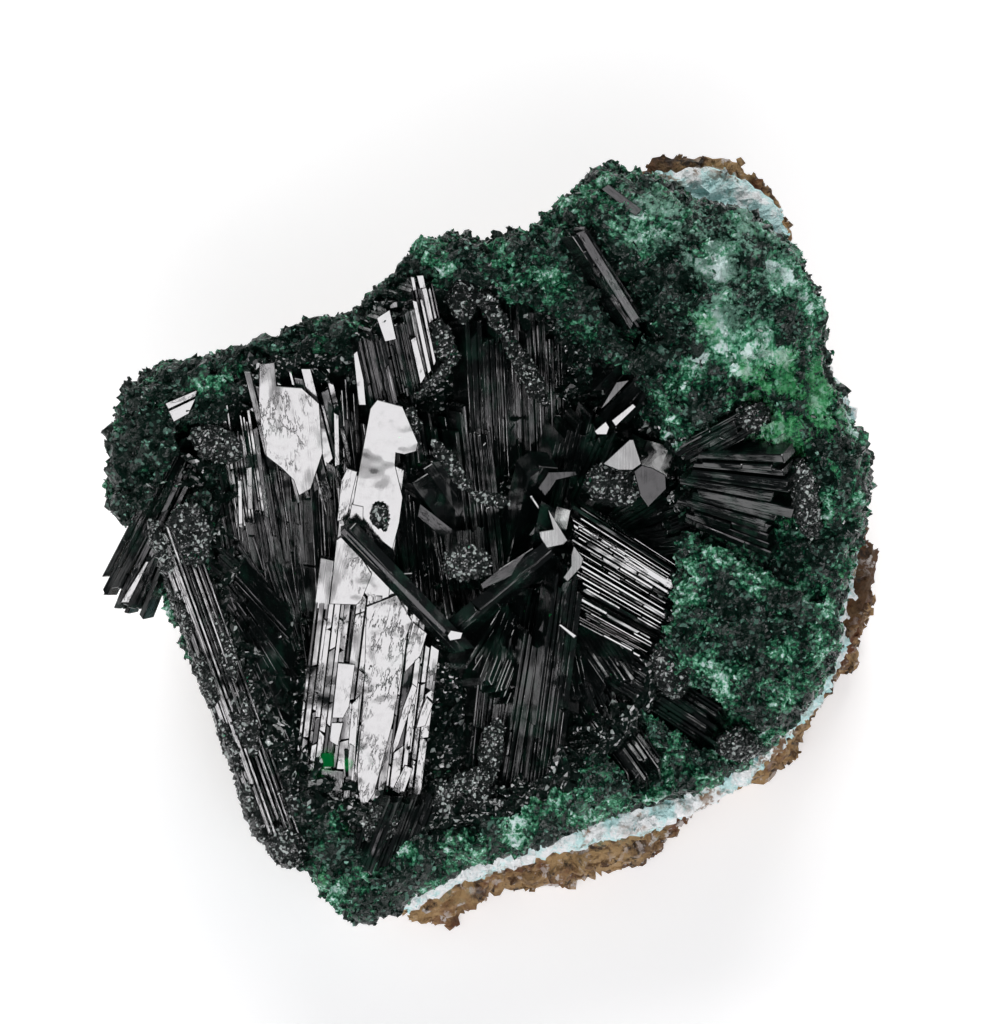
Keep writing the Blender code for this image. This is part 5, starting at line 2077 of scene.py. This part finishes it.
EDGE_KNOBS = Knobs(
    (
        ((-19.2, -0.6, -3.6), (0.5, 2.0, 1.6), 19.0),
        ((-18.1, -3.9, -4.2), (0.45, 2.4, 1.6), 19.0),
        ((-16.7, -7.8, -4.8), (0.5, 2.6, 1.6), 19.0),
        ((-15.3, -11.8, -5.5), (0.45, 2.6, 1.6), 19.0),
        ((-14.0, -15.6, -6.1), (0.5, 2.4, 1.6), 19.0),
        ((-12.0, -17.9, -6.3), (1.1, 1.4, 1.3), 19.0),
    )
)
HOLLOW_KNOBS = Knobs(
    (
        ((-1.35, -1.35, -3.0), (1.45, 1.05, 1.2), 0.0),
        ((-2.3, 4.4, -3.7), (0.45, 1.9, 0.5), 38.0),
        ((0.0, 2.4, -3.7), (1.3, 0.35, 0.45), -15.0),
        ((-6.4, 1.3, -2.9), (0.55, 0.75, 0.45), 20.0),
        ((18.4, 2.4, -0.9), (0.8, 2.4, 1.0), 10.0),
        ((15.4, 7.2, -0.6), (1.0, 0.9, 0.8), 0.0),
        ((-11.3, -15.2, -5.6), (0.8, 1.3, 0.7), 15.0),
        ((-6.4, -16.8, -4.6), (0.9, 1.5, 0.6), -20.0),
        ((-2.6, -15.2, -5.4), (0.8, 1.0, 0.6), 0.0),
        ((0.0, -12.6, -5.6), (0.7, 2.2, 0.9), -12.0),
        ((-1.2, -14.8, -6.0), (1.4, 1.3, 0.9), 0.0),
        ((10.6, -7.6, -4.4), (1.0, 1.8, 1.2), 12.0),
        ((7.4, 3.3, -4.8), (1.9, 1.3, 1.1), 0.0),
        ((-4.6, 6.9, -3.6), (0.5, 0.9, 0.5), 10.0),
        ((-3.0, 9.6, -4.0), (0.35, 1.9, 0.45), -43.0),
        ((-2.8, 11.7, -4.2), (0.7, 1.3, 0.6), 15.0),
        ((-1.7, 14.3, -4.6), (0.8, 1.7, 0.9), 10.0),
        ((0.2, 13.3, -4.9), (0.55, 1.9, 0.7), 31.0),
        ((2.1, 10.0, -5.2), (0.6, 2.4, 0.7), 30.0),
        ((-17.6, 0.3, -2.6), (1.35, 1.9, 0.7), 10.0),
        ((-15.7, -6.2, -3.9), (0.7, 2.4, 0.5), 18.0),
        ((-14.4, -10.6, -4.4), (0.7, 2.2, 0.5), 18.0),
        ((14.6, -12.0, -3.8), (1.3, 1.0, 0.8), 0.0),
        ((-16.0, 5.6, -3.8), (1.7, 1.0, 0.9), -25.0),
    )
)
ROCK_LAYERS = (
    RockLayer(
        "limonite_rock", "limonite_base", Slot.LIMONITE,
        Surface(0.34, 0.05, 2.2, 0.34, 1.0, 1.0, 1.3, 0.55, 0.10, 1.0),
        (Grains("limonite_crumbs", 3.4, 0.25, 0.9, 0.9, 2.2, 0.46, 3, lowest=0.9),),
    ),
    RockLayer(
        "chrysocolla_sheet", "chrysocolla_layer", Slot.CHRYSOCOLLA,
        Surface(0.28, 0.38, 1.5, 0.26, 0.7, 1.0, 1.2, 0.34, 0.08, 2.0),
        (Grains("chrysocolla_crumbs", 4.4, 0.15, 0.6, 0.9, 1.6, 0.46, 5, lowest=0.9),),
    ),
    RockLayer(
        "crust_rock", "green_crust", Slot.GREEN_CRUST,
        Surface(0.28, 0.02, 2.4, 0.42, 0.95, 1.3, 1.7, 0.70, 0.08, 3.0),
        (
            Grains("crust_grains", 8.0, 0.14, 0.52, 0.9, 1.6, 0.42, 7, face_low=-9.0),
            Grains("crust_needles", 0.9, 0.2, 0.45, 1.4, 1.6, 0.48, 9, True, face_low=-3.2),
        ),
    ),
    RockLayer(
        "hollow_lining", "hollow_crystals", Slot.ATACAMITE,
        Surface(0.28, 0.0, 1.6, 0.22, 0.8, 1.0, 1.0, 0.10, 0.05, 4.0),
        (
            Grains("lining_chips", 2.6, 0.14, 0.45, 0.9, 1.6, 0.46, 11),
            Grains("lining_needles", 1.2, 0.5, 1.6, 0.8, 1.8, 0.46, 13, True),
        ),
        Bowl(),
    ),
    RockLayer(
        "edge_druse", "edge_prism", Slot.ATACAMITE,
        Surface(0.15, 0.0, 0.9, 0.14, 0.40, 1.1, 0.7, 0.12, 0.04, 6.0),
        (Grains("edge_grains", 9.0, 0.12, 0.34, 0.9, 1.0, 0.40, 17),),
        EDGE_KNOBS,
    ),
    RockLayer(
        "druse_knobs", "hollow_crystals", Slot.ATACAMITE,
        Surface(0.13, 0.0, 0.8, 0.12, 0.40, 1.1, 0.7, 0.10, 0.04, 5.0),
        (Grains("knob_grains", 11.0, 0.12, 0.32, 0.9, 1.0, 0.40, 15),),
        HOLLOW_KNOBS,
    ),
)
PRISM_PIECES = (
    PrismBundles("left_prisms", "hollow_crystals", LEFT_BUNDLES, 1, LEFT_FACETS),
    PrismBundles("middle_prisms", "hollow_crystals", MIDDLE_BUNDLES, 2, MIDDLE_FACETS),
    PrismBundles("right_prisms", "hollow_crystals", RIGHT_BUNDLES, 3, RIGHT_FACETS),
    PrismBundles("lesser_prisms", "hollow_crystals", lesser_bundles(), 7),
    PrismBundles("edge_prism_ribs", "edge_prism", EDGE_BUNDLES, 4),
    PrismBundles("outlying_blade_ribs", "outlying_blades", OUTLYING_BUNDLES, 5, OUTLYING_FACETS),
    PrismBundles("crest_prism_ribs", "crest_prism", CREST_BUNDLES, 6, CREST_FACETS),
)


def materials(groups: SharedGroups) -> dict[str, Material]:
    """Builds every material once.

    Args:
        groups: the shared groups.

    Returns:
        The materials by the name of the piece or finish that they go on.
    """
    limonite = LimoniteFinish().material("limonite_finish", groups)
    chrysocolla = ChrysocollaFinish().material("chrysocolla_finish", groups)
    crust = CrustFinish().material("crust_finish", groups)
    druse = DruseFinish(green_share=0.2).material("druse_finish", groups)
    # The knobs' finish: more of its facets carry painted highlights
    painted_sparkling = DruseFinish(
        dark=(0.012, 0.016, 0.015, 1.0), green_share=0.35, painted_sparkle_share=0.11, facet_size=0.17
    )
    painted_sparkle = painted_sparkling.material("sparkle_finish", groups)
    needles = DruseFinish(green_share=0.75).material("needle_finish", groups)
    return {
        **dict.fromkeys(("limonite_rock", "limonite_crumbs"), limonite),
        **dict.fromkeys(("chrysocolla_sheet", "chrysocolla_crumbs"), chrysocolla),
        **dict.fromkeys(("crust_rock", "crust_grains"), crust),
        "crust_needles": needles,
        **dict.fromkeys(("hollow_lining", "lining_chips", "lining_needles"), druse),
        **dict.fromkeys(("druse_knobs", "knob_grains", "edge_druse", "edge_grains"), painted_sparkle),
        "atacamite": AtacamiteFinish().material("atacamite_finish", groups),
        "floor": FloorFinish().material("floor_finish", groups),
    }


def main() -> None:
    """Builds the specimen and its studio."""
    logging.basicConfig(level=logging.INFO, format="%(name)s: %(message)s")
    looks = materials(shared_groups())
    trees, shapes = Trees(), SmallShapes()
    for layer in ROCK_LAYERS:
        layer.build(trees, shapes, looks)
    for piece in PRISM_PIECES:
        piece.build(looks)
    Studio().build(looks)


if __name__ == "__main__":
    main()
